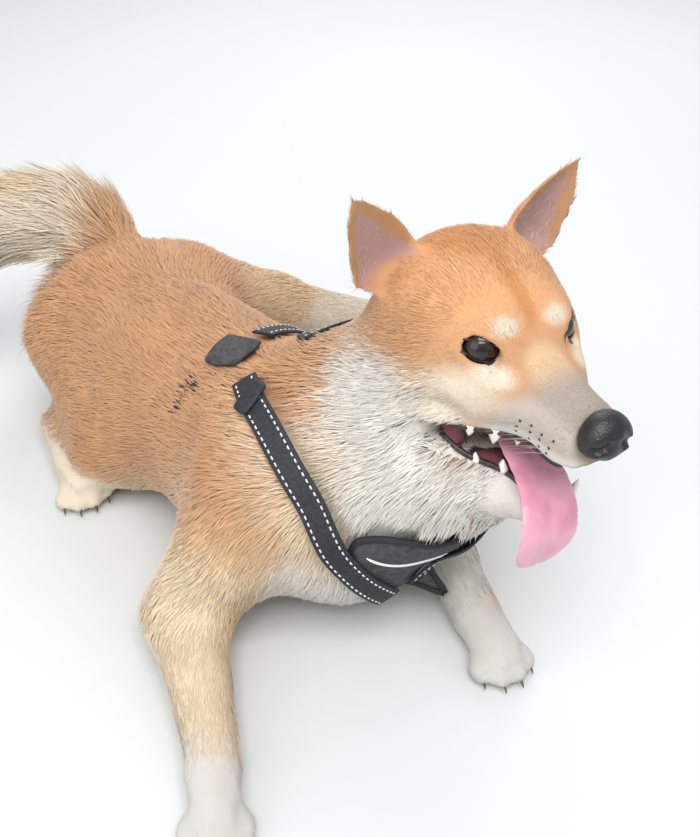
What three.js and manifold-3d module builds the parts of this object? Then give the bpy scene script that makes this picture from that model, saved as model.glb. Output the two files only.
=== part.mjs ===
// A life-size shiba inu lying on its belly with its mouth open and tongue out, in a walking harness.
// Millimetres. +X is the way the chest points, +Y the dog's left, +Z up.
// The origin is on the floor under the chest.
import * as THREE from "three";
import { mergeVertices } from "three/addons/utils/BufferGeometryUtils.js";
import Module from "manifold-3d";

const wasm = await Module();
wasm.setup();

// Driving dimensions
const gap = 0.4; // kept between neighbouring pieces
const chestDepth = 186; // floor to withers, coat included
const chestWidth = 162;
const neckRadius = 66;
const eyeSpacing = 58; // between the centres of the eyes
const eyeRadius = 11.5;
const lidThickness = 1.7;
const noseTip = 90; // eye line to nose tip
const noseWidth = 33;
const noseHeight = 29;
const earThickness = 9;
const tongueWidth = 44;
const tongueThickness = 8;
const lipRadius = 2.4;
const tailRadius = 46; // out to the tips of its hair

// Size of the cells that each region is meshed with
const trunkCell = 20;
const legCell = 15;
const headCell = 11;
const muzzleCell = 8;
const noseCell = 3.8;

// The head's own frame: between the eyes, X to the nose, turned, tipped and rolled as the dog holds it
const headPlace = new THREE.Vector3(232, 59, 265);
const headTurn = { yaw: -8.7, nod: -5.3, roll: -3.1 }; // degrees
const headFrame = new THREE.Matrix4()
  .makeRotationFromEuler(
    new THREE.Euler(
      THREE.MathUtils.degToRad(headTurn.roll),
      THREE.MathUtils.degToRad(headTurn.nod),
      THREE.MathUtils.degToRad(headTurn.yaw),
      "ZYX",
    ),
  )
  .setPosition(headPlace);
const headFrameBack = headFrame.clone().invert();

// Joints of the skeleton, in the part's frame
const spine = {
  breast: [128, 2, 76],
  chest: [66, -8, 90],
  belly: [0, 0, 85],
  loin: [-78, -12, 84],
  rump: [-192, -2, 86],
  haunch: [-212, -10, 88],
  neckBase: [92, 2, 116],
  neckTop: [168, 62, 204],
  throat: [168, 28, 140],
};
const legs = {
  foreRight: {
    shoulder: [104, -58, 108],
    elbow: [100, -128, 32],
    wrist: [208, -174, 19],
    toes: [246, -196, 16.5],
  },
  foreLeft: {
    shoulder: [108, 56, 108],
    elbow: [112, 94, 32],
    wrist: [222, 50, 19],
    toes: [262, 38, 16.5],
  },
  hindRight: {
    hip: [-192, -40, 92],
    knee: [-92, -84, 50],
    hock: [-184, -98, 19],
    toes: [-98, -120, 16.5],
  },
  hindLeft: {
    hip: [-194, 60, 92],
    knee: [-196, 150, 54],
    hock: [-160, 256, 19],
    toes: [-80, 290, 16.5],
  },
};

// Distance fields
function ball(centre, radii) {
  const [cx, cy, cz] = centre;
  const [rx, ry, rz] = radii;
  return (x, y, z) => {
    const a = (x - cx) / rx;
    const b = (y - cy) / ry;
    const c = (z - cz) / rz;
    const k0 = Math.hypot(a, b, c);
    const k1 = Math.hypot(a / rx, b / ry, c / rz);
    return k1 < 1e-9 ? -Math.min(rx, ry, rz) : (k0 * (k0 - 1)) / k1;
  };
}

function limb(start, end, startRadius, endRadius, flatten = 1) {
  const [ax, ay, az] = start;
  const dx = end[0] - ax;
  const dy = end[1] - ay;
  const dz = (end[2] - az) / flatten;
  const lengthSquared = dx * dx + dy * dy + dz * dz;
  return (x, y, z) => {
    const px = x - ax;
    const py = y - ay;
    const pz = (z - az) / flatten;
    const t = Math.min(1, Math.max(0, (px * dx + py * dy + pz * dz) / lengthSquared));
    const across = Math.hypot(px - t * dx, py - t * dy, pz - t * dz);
    return (across - (startRadius + t * (endRadius - startRadius))) * Math.min(1, flatten);
  };
}

function blend(a, b, softness) {
  const h = Math.max(softness - Math.abs(a - b), 0) / softness;
  return Math.min(a, b) - h * h * softness * 0.25;
}

function joined(pieces) {
  return (x, y, z) => {
    let d = pieces[0].field(x, y, z);
    for (let i = 1; i < pieces.length; i++) d = blend(d, pieces[i].field(x, y, z), pieces[i].soft);
    return d;
  };
}

const mirrored = (make) => [-1, 1].map(make);

// A closed mesh of a field, by dual cells, each vertex drawn onto the surface
const corner = [
  [0, 0, 0],
  [1, 0, 0],
  [0, 1, 0],
  [1, 1, 0],
  [0, 0, 1],
  [1, 0, 1],
  [0, 1, 1],
  [1, 1, 1],
];
const cubeEdges = [];
for (let a = 0; a < 8; a++) for (const bit of [1, 2, 4]) if (!(a & bit)) cubeEdges.push([a, a | bit]);
const cubeFaces = [];
for (const [axis, u, v] of [
  [1, 2, 4],
  [2, 4, 1],
  [4, 1, 2],
])
  for (const base of [0, axis]) cubeFaces.push([base, base | u, base | u | v, base | v]);
const edgeNumber = (a, b) => cubeEdges.findIndex(([p, q]) => (p === a && q === b) || (p === b && q === a));
const faceEdges = cubeFaces.map((f) => f.map((c, i) => edgeNumber(c, f[(i + 1) % 4])));

function surface(field, low, high, cell) {
  const count = [0, 1, 2].map((k) => Math.ceil((high[k] - low[k]) / cell) + 1);
  const [nx, ny, nz] = count;
  const number = (i, j, k) => (k * ny + j) * nx + i;
  const value = new Float64Array(nx * ny * nz);
  for (let k = 0; k < nz; k++)
    for (let j = 0; j < ny; j++)
      for (let i = 0; i < nx; i++) {
        const rim = i === 0 || j === 0 || k === 0 || i === nx - 1 || j === ny - 1 || k === nz - 1;
        const d = field(low[0] + i * cell, low[1] + j * cell, low[2] + k * cell);
        value[number(i, j, k)] = rim ? Math.max(d, cell * 0.1) : d === 0 ? 1e-6 : d;
      }
  const places = [];
  const cellVertices = new Map();
  for (let k = 0; k < nz - 1; k++)
    for (let j = 0; j < ny - 1; j++)
      for (let i = 0; i < nx - 1; i++) {
        const v = corner.map(([a, b, c]) => value[number(i + a, j + b, k + c)]);
        const crossed = cubeEdges.map(([a, b]) => v[a] < 0 !== v[b] < 0);
        if (!crossed.includes(true)) continue;
        const group = cubeEdges.map((_, n) => n);
        const find = (n) => (group[n] === n ? n : find(group[n]));
        cubeFaces.forEach((f, n) => {
          const hit = faceEdges[n].filter((e) => crossed[e]);
          if (hit.length === 2) group[find(hit[0])] = find(hit[1]);
          else if (hit.length === 4)
            f.forEach((c, m) => {
              if (v[c] < 0) group[find(faceEdges[n][m])] = find(faceEdges[n][(m + 3) % 4]);
            });
        });
        const made = new Map();
        const ofEdge = new Int32Array(12).fill(-1);
        cubeEdges.forEach(([a, b], n) => {
          if (!crossed[n]) return;
          const g = find(n);
          if (!made.has(g)) made.set(g, { sum: [0, 0, 0], edges: [] });
          const t = v[a] / (v[a] - v[b]);
          const at = made.get(g);
          for (let m = 0; m < 3; m++) at.sum[m] += corner[a][m] + t * (corner[b][m] - corner[a][m]);
          at.edges.push(n);
        });
        for (const { sum, edges } of made.values()) {
          const p = [i, j, k].map((c, m) => low[m] + (c + sum[m] / edges.length) * cell);
          edges.forEach((e) => (ofEdge[e] = places.length));
          places.push(drawn(field, p, cell));
        }
        cellVertices.set(number(i, j, k), ofEdge);
      }
  const faces = [];
  const steps = [
    [1, 0, 0],
    [0, 1, 0],
    [0, 0, 1],
  ];
  for (let k = 0; k < nz - 1; k++)
    for (let j = 0; j < ny - 1; j++)
      for (let i = 0; i < nx - 1; i++)
        for (let axis = 0; axis < 3; axis++) {
          const s = steps[axis];
          const here = value[number(i, j, k)] < 0;
          const next = value[number(i + s[0], j + s[1], k + s[2])] < 0;
          if (here === next) continue;
          const u = steps[(axis + 1) % 3];
          const w = steps[(axis + 2) % 3];
          const ring = [
            [0, 0],
            [1, 0],
            [1, 1],
            [0, 1],
          ].map(([a, b]) => {
            const c = [i - a * u[0] - b * w[0], j - a * u[1] - b * w[1], k - a * u[2] - b * w[2]];
            const start = a * bitOf(u) + b * bitOf(w);
            return cellVertices.get(number(...c))[edgeNumber(start, start | bitOf(s))];
          });
          if (!here) ring.reverse();
          const across = (a, b) =>
            places[ring[a]].reduce((total, c, m) => total + (c - places[ring[b]][m]) ** 2, 0);
          const turned = across(0, 2) < across(1, 3) ? ring : [ring[1], ring[2], ring[3], ring[0]];
          faces.push([turned[0], turned[1], turned[2]], [turned[0], turned[2], turned[3]]);
        }
  const geometry = new THREE.BufferGeometry();
  geometry.setAttribute("position", new THREE.Float32BufferAttribute(places.flat(), 3));
  geometry.setIndex(faces.flat());
  return geometry;
}

const bitOf = (step) => step[0] + 2 * step[1] + 4 * step[2];

function slope(field, p, e = 0.5) {
  const [x, y, z] = p;
  return [
    (field(x + e, y, z) - field(x - e, y, z)) / (2 * e),
    (field(x, y + e, z) - field(x, y - e, z)) / (2 * e),
    (field(x, y, z + e) - field(x, y, z - e)) / (2 * e),
  ];
}

// Moves a point onto the field's surface, by at most a third of a cell
function drawn(field, start, cell) {
  let p = start;
  for (let turn = 0; turn < 3; turn++) {
    const g = slope(field, p);
    const size = g[0] * g[0] + g[1] * g[1] + g[2] * g[2];
    if (size < 1e-6) break;
    const d = field(...p);
    p = p.map((c, m) => c - (d * g[m]) / size);
  }
  const far = Math.hypot(p[0] - start[0], p[1] - start[1], p[2] - start[2]);
  const most = cell * 0.33;
  return far > most ? start.map((c, m) => c + ((p[m] - c) * most) / far) : p;
}

// Solids
function solid(geometry) {
  const bare = new THREE.BufferGeometry();
  bare.setAttribute("position", geometry.getAttribute("position"));
  bare.setIndex(geometry.index);
  const merged = geometry.hasAttribute("normal") ? mergeVertices(bare, 1e-4) : bare;
  return new wasm.Manifold(
    new wasm.Mesh({
      numProp: 3,
      vertProperties: new Float32Array(merged.attributes.position.array),
      triVerts: new Uint32Array(merged.index.array),
    }),
  );
}

function largest(piece) {
  return piece.decompose().sort((a, b) => b.volume() - a.volume())[0];
}

function geometryOf(piece) {
  const mesh = piece.getMesh();
  const geometry = new THREE.BufferGeometry();
  geometry.setAttribute("position", new THREE.Float32BufferAttribute(mesh.vertProperties, 3));
  geometry.setIndex(new THREE.Uint32BufferAttribute(mesh.triVerts, 1));
  return geometry;
}

const far = 1200;
// Everything on the side of a plane that its normal points to
function side(place, normal) {
  const box = new THREE.BoxGeometry(far, far, far).translate(0, 0, far / 2);
  const turn = new THREE.Quaternion().setFromUnitVectors(
    new THREE.Vector3(0, 0, 1),
    new THREE.Vector3(...normal).normalize(),
  );
  box.applyQuaternion(turn);
  box.translate(...place);
  return solid(box);
}

// Everything inside a few planes, each moved along its normal, which points inwards
function block(planes, moved) {
  const walls = planes.map(([place, normal]) => {
    const n = new THREE.Vector3(...normal).normalize().multiplyScalar(moved);
    return side([place[0] + n.x, place[1] + n.y, place[2] + n.z], normal);
  });
  return walls.reduce((all, wall) => all.intersect(wall));
}

const inside = (piece, planes) => piece.intersect(block(planes, gap / 2));
const without = (piece, planes) => piece.subtract(block(planes, -gap / 2));

// A closed sheet between two equal grids of points, with its triangles alike on both faces
function sheet(top, under) {
  const rows = top.length;
  const columns = top[0].length;
  const places = [...top.flat(), ...under.flat()];
  const upper = (i, j) => i * columns + j;
  const lower = (i, j) => rows * columns + upper(i, j);
  const faces = [];
  for (let i = 0; i < rows - 1; i++)
    for (let j = 0; j < columns - 1; j++) {
      faces.push([upper(i, j), upper(i, j + 1), upper(i + 1, j + 1)]);
      faces.push([upper(i, j), upper(i + 1, j + 1), upper(i + 1, j)]);
      faces.push([lower(i, j), lower(i + 1, j + 1), lower(i, j + 1)]);
      faces.push([lower(i, j), lower(i + 1, j), lower(i + 1, j + 1)]);
    }
  const rim = [];
  for (let j = 0; j < columns - 1; j++) rim.push([0, j]);
  for (let i = 0; i < rows - 1; i++) rim.push([i, columns - 1]);
  for (let j = columns - 1; j > 0; j--) rim.push([rows - 1, j]);
  for (let i = rows - 1; i > 0; i--) rim.push([i, 0]);
  rim.forEach(([i, j], n) => {
    const [k, m] = rim[(n + 1) % rim.length];
    faces.push([upper(k, m), upper(i, j), lower(i, j)], [upper(k, m), lower(i, j), lower(k, m)]);
  });
  return facedOut(places, faces);
}

// A closed tube through rings of points, with flat ends
function lofted(rings) {
  const n = rings[0].length;
  const faces = [];
  for (let k = 0; k < rings.length - 1; k++)
    for (let j = 0; j < n; j++) {
      const a = k * n + j;
      const b = k * n + ((j + 1) % n);
      faces.push([a, b, b + n], [a, b + n, a + n]);
    }
  const last = (rings.length - 1) * n;
  for (let j = 1; j < n - 1; j++) {
    faces.push([0, j + 1, j]);
    faces.push([last, last + j, last + j + 1]);
  }
  return facedOut(rings.flat(), faces);
}

function facedOut(places, faces) {
  const volume = faces.reduce((sum, [a, b, c]) => {
    const [p, q, r] = [places[a], places[b], places[c]];
    const across = [q[1] * r[2] - q[2] * r[1], q[2] * r[0] - q[0] * r[2], q[0] * r[1] - q[1] * r[0]];
    return sum + p[0] * across[0] + p[1] * across[1] + p[2] * across[2];
  }, 0);
  if (volume < 0) faces.forEach((f) => f.reverse());
  const geometry = new THREE.BufferGeometry();
  geometry.setAttribute("position", new THREE.Float32BufferAttribute(places.flat(), 3));
  geometry.setIndex(faces.flat());
  return geometry;
}

const mixed = (a, b, t) => a.map((c, m) => c + t * (b[m] - c));
const moved = (p, d, far) => p.map((c, m) => c + far * d[m]);
const swell = (t) => Math.sin(Math.PI * t);

// The head
const headPieces = [
  { field: ball([-62, 0, 0], [54, 60, 50]), soft: 1 },
  { field: ball([-30, 0, -6], [42, 44, 37]), soft: 16 },
  ...mirrored((s) => ({ field: ball([-9, s * 24, 7], [19, 15, 11]), soft: 12 })),
  ...mirrored((s) => ({ field: ball([-50, s * 36, -30], [50, 38, 44]), soft: 22 })),
  ...mirrored((s) => ({ field: ball([-64, s * 28, -68], [48, 44, 46]), soft: 26 })),
  ...mirrored((s) => ({ field: ball([-4, s * 24, -28], [30, 20, 22]), soft: 18 })),
  { field: limb([-4, 0, -32], [57, 0, -34], 33, 21.5, 0.95), soft: 18 },
  ...mirrored((s) => ({ field: ball([60, s * 9, -41], [20, 14, 14]), soft: 12 })),
  { field: limb([-40, 0, -90], [32, 0, -106], 40, 15, 0.82), soft: 18 },
  { field: ball([30, 0, -105], [19, 19, 12]), soft: 8 },
  { field: ball([-36, -6, -112], [50, 46, 44]), soft: 24 },
];
const headShape = joined(headPieces);

const mouth = {
  corner: [-30, -57], // x and z
  cornerRadius: 3,
  upperLip: [74, -52],
  lowerLip: [46, -99],
  beyond: 110,
  halfWidth: 48,
};
const lipLine = (end, start) => {
  const rise = (end[1] - start) / (end[0] - mouth.corner[0]);
  return (x) => start + (x - mouth.corner[0]) * rise;
};
const upperLipHeight = lipLine(mouth.upperLip, mouth.corner[1] + mouth.cornerRadius);
const lowerLipHeight = lipLine(mouth.lowerLip, mouth.corner[1] - mouth.cornerRadius);

function mouthSpace() {
  const outline = new THREE.Shape();
  outline.moveTo(mouth.beyond, upperLipHeight(mouth.beyond));
  outline.lineTo(mouth.corner[0], mouth.corner[1] + mouth.cornerRadius);
  outline.absarc(...mouth.corner, mouth.cornerRadius, Math.PI / 2, (3 * Math.PI) / 2, false);
  outline.lineTo(mouth.beyond, lowerLipHeight(mouth.beyond));
  const wedge = new THREE.ExtrudeGeometry(outline, {
    depth: 2 * mouth.halfWidth,
    bevelEnabled: false,
    curveSegments: 6,
  });
  return solid(wedge.rotateX(Math.PI / 2).translate(0, mouth.halfWidth, 0));
}

// The surface of the head's side at a given length and height
function cheekAt(x, z, s) {
  let y = 2;
  while (y < 80 && headShape(x, s * y, z) < 0) y += 0.5;
  return s * y;
}

function lip(height, from, to, s) {
  const line = [];
  for (let k = 0; k <= 8; k++) {
    const x = from + ((to - from) * k) / 8;
    line.push(new THREE.Vector3(x, cheekAt(x, height(x), s) - s * 1.2, height(x)));
  }
  return tube(new THREE.CatmullRomCurve3(line), lipRadius, 9, 5);
}

function tube(path, radius, steps, sides) {
  const ring = new THREE.Shape();
  for (let k = 0; k < sides; k++) {
    const a = (2 * Math.PI * k) / sides;
    if (k === 0) ring.moveTo(radius, 0);
    else ring.lineTo(radius * Math.cos(a), radius * Math.sin(a));
  }
  return solid(new THREE.ExtrudeGeometry(ring, { steps, extrudePath: path }));
}

// A tooth from its root to its tip
function tooth(root, tip, radius) {
  const line = new THREE.Vector3(...tip).sub(new THREE.Vector3(...root));
  const cone = new THREE.ConeGeometry(radius, line.length(), 6);
  cone.translate(0, line.length() / 2, 0);
  const turn = new THREE.Quaternion().setFromUnitVectors(new THREE.Vector3(0, 1, 0), line.normalize());
  cone.applyQuaternion(turn);
  return solid(cone.translate(...root));
}

const canine = { radius: 3.4, length: 14 };
const cheekTeeth = [
  { x: 34, length: 6, radius: 3.2 },
  { x: 25, length: 7, radius: 3.8 },
  { x: 13, length: 9.5, radius: 5 },
  { x: 2, length: 6, radius: 4 },
];
const toothRoot = 3; // sunk in the gum
const toothInset = 7; // in from the lip

function upperTeeth() {
  return mirrored((s) =>
    cheekTeeth.map((t) => {
      const gum = upperLipHeight(t.x);
      const y = cheekAt(t.x, gum, s) - s * toothInset;
      return tooth([t.x, y, gum + toothRoot], [t.x, y, gum - t.length], t.radius);
    }),
  ).flat();
}

function lowerTeeth() {
  const z = lowerLipHeight(42);
  const teeth = [tooth([41, 14.5, z - toothRoot], [46, 17, z + canine.length], canine.radius)];
  for (const s of [-1, 1])
    for (const t of cheekTeeth.slice(1)) {
      const y = cheekAt(t.x, lowerLipHeight(t.x) - 3, s) - s * 5;
      const gum = lowerLipHeight(t.x);
      teeth.push(tooth([t.x, y, gum - toothRoot], [t.x + 1, y, gum + t.length * 0.6], t.radius * 0.8));
    }
  return teeth;
}

// The eyes: each frame has X along the look, Y to the outer corner's side and Z up
const eye = { x: -5.5, y: eyeSpacing / 2, z: -1, splay: 32, rise: 4, slant: 12 };
const lidOpening = { inner: 14, outer: 13.5, above: 7.4, below: 6.4 };

function eyeFrame(s) {
  const splay = THREE.MathUtils.degToRad(eye.splay);
  const rise = THREE.MathUtils.degToRad(eye.rise);
  const level = Math.cos(rise);
  const look = new THREE.Vector3(Math.cos(splay) * level, s * Math.sin(splay) * level, Math.sin(rise));
  const left = new THREE.Vector3(0, 0, 1).cross(look).normalize();
  const turn = new THREE.Quaternion().setFromAxisAngle(look, s * THREE.MathUtils.degToRad(eye.slant));
  left.applyQuaternion(turn);
  const up = look.clone().cross(left);
  return new THREE.Matrix4().makeBasis(left, up, look).setPosition(eye.x, s * eye.y, eye.z);
}

function eyeOpening(s) {
  const outline = new THREE.Shape();
  const outer = s * lidOpening.outer;
  const inner = -s * lidOpening.inner;
  outline.moveTo(outer, 0);
  const { above, below } = lidOpening;
  outline.bezierCurveTo(outer * 0.55, above * 1.35, inner * 0.5, above * 1.25, inner, -2);
  outline.bezierCurveTo(inner * 0.45, -below * 1.3, outer * 0.6, -below * 1.25, outer, 0);
  const prism = new THREE.ExtrudeGeometry(outline, { depth: 40, bevelEnabled: false, curveSegments: 7 });
  return solid(prism.applyMatrix4(eyeFrame(s)));
}

const eyeBall = (s, radius, round, high) =>
  solid(new THREE.SphereGeometry(radius, round, high).applyMatrix4(eyeFrame(s)));

// The ears, as thick leaves cupped forwards
const ear = {
  innerBase: [-66, 33, 44],
  outerBase: [-70, 78, 14],
  tip: [-60, 88, 86],
  cupDepth: 20,
  root: [-62, 40, 10], // where its base draws together inside the head
  sunk: 0.3, // of its height, inside the head
  rows: 7,
  columns: 8,
};

function earLeaf(s) {
  const back = [];
  const front = [];
  for (let k = 0; k <= ear.rows; k++) {
    const t = -ear.sunk + ((1 + ear.sunk) * k) / ear.rows;
    const bulge = 7 * swell(Math.max(0, t));
    const sunk = Math.max(0, -t) / ear.sunk;
    const up = Math.max(0, t);
    const inner = moved(mixed(mixed(ear.innerBase, ear.root, sunk), ear.tip, up), [0, -0.75, 0.5], bulge);
    const outer = moved(mixed(mixed(ear.outerBase, ear.root, sunk), ear.tip, up), [0, 1, 0], bulge * 0.7);
    const rows = [[], []];
    for (let j = 0; j <= ear.columns; j++) {
      const u = -1 + (2 * j) / ear.columns;
      const across = 1 - u * u;
      const middle = mixed(inner, outer, (u + 1) / 2);
      const cup = ear.cupDepth * across * (1 - 0.75 * up);
      const half = (earThickness / 2) * (0.3 + 0.7 * across) * (1 - 0.55 * up);
      const spread = k === ear.rows ? 0.12 : 1;
      const p = mixed(ear.tip, middle, spread);
      rows[0].push([p[0] - cup * spread - half, s * p[1], p[2]]);
      rows[1].push([p[0] - cup * spread + half, s * p[1], p[2]]);
    }
    back.push(rows[0]);
    front.push(rows[1]);
  }
  return solid(sheet(back, front));
}

// The tongue, laid along the lower jaw and hung over its front
const tongueLine = [
  [-14, 0, -62.5, 0.55],
  [10, -1, -71.4, 0.82],
  [32, -4, -79.5, 0.9],
  [47, -8, -88, 0.96],
  [55, -12, -95, 1.02],
  [59, -14, -107, 1.12],
  [57, -15.5, -120, 1.1],
  [53, -16, -130, 0.8],
  [51, -16, -134, 0.4],
];

// Its outline across, with the groove down the middle of its top
const tongueRing = [
  [-1, 0],
  [-0.72, 0.8],
  [-0.2, 1],
  [0, 0.5],
  [0.2, 1],
  [0.72, 0.8],
  [1, 0],
  [0.7, -0.8],
  [0, -1],
  [-0.7, -0.8],
];

function tongueShape() {
  const path = new THREE.CatmullRomCurve3(tongueLine.map(([x, y, z]) => new THREE.Vector3(x, y, z)));
  const rings = [];
  const steps = 16;
  for (let k = 0; k <= steps; k++) {
    const t = k / steps;
    const at = path.getPoint(t);
    const along = path.getTangent(t);
    const across = new THREE.Vector3(0, 1, 0).addScaledVector(along, -along.y).normalize();
    const up = along.clone().cross(across).normalize();
    const row = t * (tongueLine.length - 1);
    const first = Math.min(tongueLine.length - 2, Math.floor(row));
    const share = THREE.MathUtils.lerp(tongueLine[first][3], tongueLine[first + 1][3], row - first);
    const half = (share * tongueWidth) / 2;
    const thick = (tongueThickness / 2) * (1 - 0.35 * t) * Math.min(1, share * 1.5);
    rings.push(
      tongueRing.map(([u, v]) =>
        at.clone().addScaledVector(across, u * half).addScaledVector(up, v * thick).toArray(),
      ),
    );
  }
  return solid(lofted(rings));
}

// The nose, with its nostrils
const nosePieces = [
  { field: ball([noseTip - 13, 0, -27], [13, noseWidth / 2, noseHeight / 2 - 1]), soft: 1 },
  ...mirrored((s) => ({ field: ball([noseTip - 11, s * 8.5, -31], [10, 8, 9]), soft: 5 })),
  { field: ball([noseTip - 12, 0, -37], [9, 7, 7]), soft: 5 },
];
const noseSolid = joined(nosePieces);
const nostrils = mirrored((s) => joined([
  { field: ball([noseTip - 1, s * 6.8, -30], [6, 3.4, 3.6]), soft: 1 },
  { field: ball([noseTip - 5, s * 12.5, -32.5], [5.5, 4, 2]), soft: 3 },
]));
const noseShape = (x, y, z) => Math.max(noseSolid(x, y, z), -nostrils[0](x, y, z), -nostrils[1](x, y, z));

// The body
function legPieces(leg) {
  if (leg.shoulder)
    return [
      { field: limb(leg.shoulder, leg.elbow, 50, 33), soft: 30 },
      { field: limb(leg.elbow, leg.wrist, 32.5, 19.6), soft: 12 },
      { field: limb(leg.wrist, leg.toes, 19.6, 20, 0.87), soft: 10 },
    ];
  return [
    { field: limb(leg.hip, leg.knee, 58, 38), soft: 34 },
    { field: limb(leg.knee, leg.hock, 34, 20), soft: 16 },
    { field: limb(leg.hock, leg.toes, 19.6, 20, 0.87), soft: 10 },
  ];
}

const trunkPieces = [
  { field: ball(spine.chest, [118, chestWidth / 2, chestDepth / 2]), soft: 1 },
  { field: ball(spine.belly, [96, 74, 88]), soft: 20 },
  { field: ball(spine.breast, [62, 66, 68]), soft: 26 },
  { field: limb(spine.chest, spine.loin, 80, 82), soft: 30 },
  { field: limb(spine.loin, spine.rump, 82, 76), soft: 30 },
  { field: ball(spine.haunch, [68, 88, 76]), soft: 26 },
  { field: limb(spine.neckBase, spine.neckTop, 76, neckRadius), soft: 34 },
  { field: ball(spine.throat, [60, 60, 62]), soft: 30 },
];
const bodyShape = joined([...trunkPieces, ...Object.values(legs).flatMap(legPieces)]);

function placed(matrix, field) {
  const m = matrix.elements;
  return (x, y, z) =>
    field(
      m[0] * x + m[4] * y + m[8] * z + m[12],
      m[1] * x + m[5] * y + m[9] * z + m[13],
      m[2] * x + m[6] * y + m[10] * z + m[14],
    );
}
const headInPart = placed(headFrameBack, headShape);
const bodyInHead = placed(headFrame, bodyShape);
const animal = (x, y, z) => blend(bodyShape(x, y, z), headInPart(x, y, z), 30);
const animalInHead = (x, y, z) => blend(bodyInHead(x, y, z), headShape(x, y, z), 30);
const grown = (field, by) => (x, y, z) => field(x, y, z) - by;

// Planes that part the animal: a point and a normal that points into the piece that is cut off
const neckTopCut = [[165, 55, 190], [0.62, 0.35, 0.7]];
const neckBaseCut = [[110, 16, 137], [0.6, 0.42, 0.68]];
const loinCut = [[-44, 0, 80], [-1, 0, 0]];
const rumpCut = [[-128, 0, 80], [-1, 0, 0]];
const floor = [[0, 0, 0], [0, 0, 1]];

function cutInHead([place, normal]) {
  const at = new THREE.Vector3(...place).applyMatrix4(headFrameBack);
  const way = new THREE.Vector3(...normal).transformDirection(headFrameBack);
  return [at.toArray(), way.toArray()];
}

const muzzleCut = [[13, 0, -30], [1, 0, -0.45]];
const noseCut = [[noseTip - 18, 0, -28], [1, 0, 0.12]];
const middleOfMouth = [mouth.corner[0], 0, mouth.corner[1]];
const aboveMouth = [middleOfMouth, [0.2, 0, 1]];
const belowMouth = [middleOfMouth, [-0.2, 0, -1]];
const jawCut = [[mouth.corner[0] + 1, 0, mouth.corner[1] - 4], [0.92, 0, 0.39]];

const behindForelegs = [[20, 0, 0], [1, 0, 0]];
const overForelegs = [[0, 0, 112], [0, 0, -1]];
const legCuts = {
  foreRight: [[[118, -86, 58], [0.45, -0.83, -0.33]], behindForelegs, overForelegs],
  foreLeft: [[[130, 74, 52], [0.62, 0.72, -0.32]], behindForelegs, overForelegs],
  hindRight: [[[-120, -84, 55], [0, -0.97, -0.24]], [[-46, 0, 0], [-1, 0, 0]]],
  hindLeft: [[[-190, 100, 60], [0, 0.97, -0.24]], [[-30, 0, 0], [-1, 0, 0]]],
};

function along(a, b, t) {
  return [mixed(a, b, t), b.map((c, m) => c - a[m])];
}

// The toes: four blunt knuckles round the end of a paw
const toe = { length: 15, radius: 9.2, spread: 11, fan: 0.26 };

function toesOf(leg, from) {
  const way = Math.atan2(leg.toes[1] - from[1], leg.toes[0] - from[0]);
  return [-1.5, -0.5, 0.5, 1.5].map((n) => {
    const knuckle = new THREE.SphereGeometry(1, 8, 5).scale(toe.length, toe.radius, toe.radius + 1);
    knuckle.translate(Math.abs(n) < 1 ? 13 : 7, n * toe.spread, 0);
    knuckle.rotateZ(way + n * toe.fan * 0.4);
    return solid(knuckle.translate(leg.toes[0], leg.toes[1], toe.radius));
  });
}

// The tail, curled over the rump to the dog's right
const tailLine = [
  [-228, 8, 122],
  [-252, 6, 144],
  [-276, -4, 166],
  [-302, -44, 174],
  [-320, -95, 168],
  [-330, -150, 138],
  [-320, -190, 102],
].map((p) => new THREE.Vector3(...p));
const tailPath = new THREE.CatmullRomCurve3(tailLine);

function tailCore(radiusAt, steps, sides) {
  const frames = tailPath.computeFrenetFrames(steps, false);
  const rings = [];
  for (let k = 0; k <= steps; k++) {
    const at = tailPath.getPointAt(k / steps);
    const radius = radiusAt(k / steps);
    const ring = [];
    for (let j = 0; j < sides; j++) {
      const a = (2 * Math.PI * j) / sides;
      const p = at
        .clone()
        .addScaledVector(frames.normals[k], radius * Math.cos(a))
        .addScaledVector(frames.binormals[k], radius * Math.sin(a));
      ring.push([p.x, p.y, p.z]);
    }
    rings.push(ring);
  }
  return solid(lofted(rings));
}

// The harness: webbing and pads that lie on the coat
const webbing = { width: 20, thickness: 2.4, lift: 1.4 };
const plate = {
  low: 42,
  high: 116,
  halfWidth: 55,
  middle: -6,
  front: 205,
  thickness: 6,
  rows: 6,
  columns: 8,
};
const overPlate = webbing.lift + plate.thickness + 1.6;
const strapRoutes = {
  strap_right: [
    [192, -12, 52, overPlate],
    [188, -28, 74, overPlate],
    [182, -40, 94, overPlate],
    [175, -49, 112, overPlate],
    [161, -57, 135, 3],
    [145, -61, 154, webbing.lift],
    [123, -59, 170, webbing.lift],
    [104, -55, 178, webbing.lift],
    [83, -49, 183, webbing.lift],
    [66, -42, 184, webbing.lift],
  ],
  strap_left: [
    [195, 12, 56, overPlate],
    [205, 22, 76, overPlate],
    [212, 36, 100, overPlate],
    [206, 52, 120, 4],
    [190, 75, 138, 3.6],
    [160, 90, 155, 3.6],
    [125, 80, 172, 3.6],
    [92, 45, 188, 3.6],
    [68, 8, 190, 3.6],
  ],
  girth_right: [
    [14, -54, 164, webbing.lift],
    [8, -66, 150, webbing.lift],
    [2, -76, 132, webbing.lift],
  ],
  girth_left: [
    [22, 2, 180, webbing.lift],
    [14, 32, 170, webbing.lift],
    [8, 58, 145, webbing.lift],
    [6, 74, 110, webbing.lift],
    [6, 78, 70, webbing.lift],
    [6, 70, 34, webbing.lift],
    [6, 56, 16, webbing.lift],
  ],
};

function unitSlope(p) {
  const g = slope(animal, p);
  const size = Math.hypot(...g);
  return g.map((c) => c / size);
}

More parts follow.
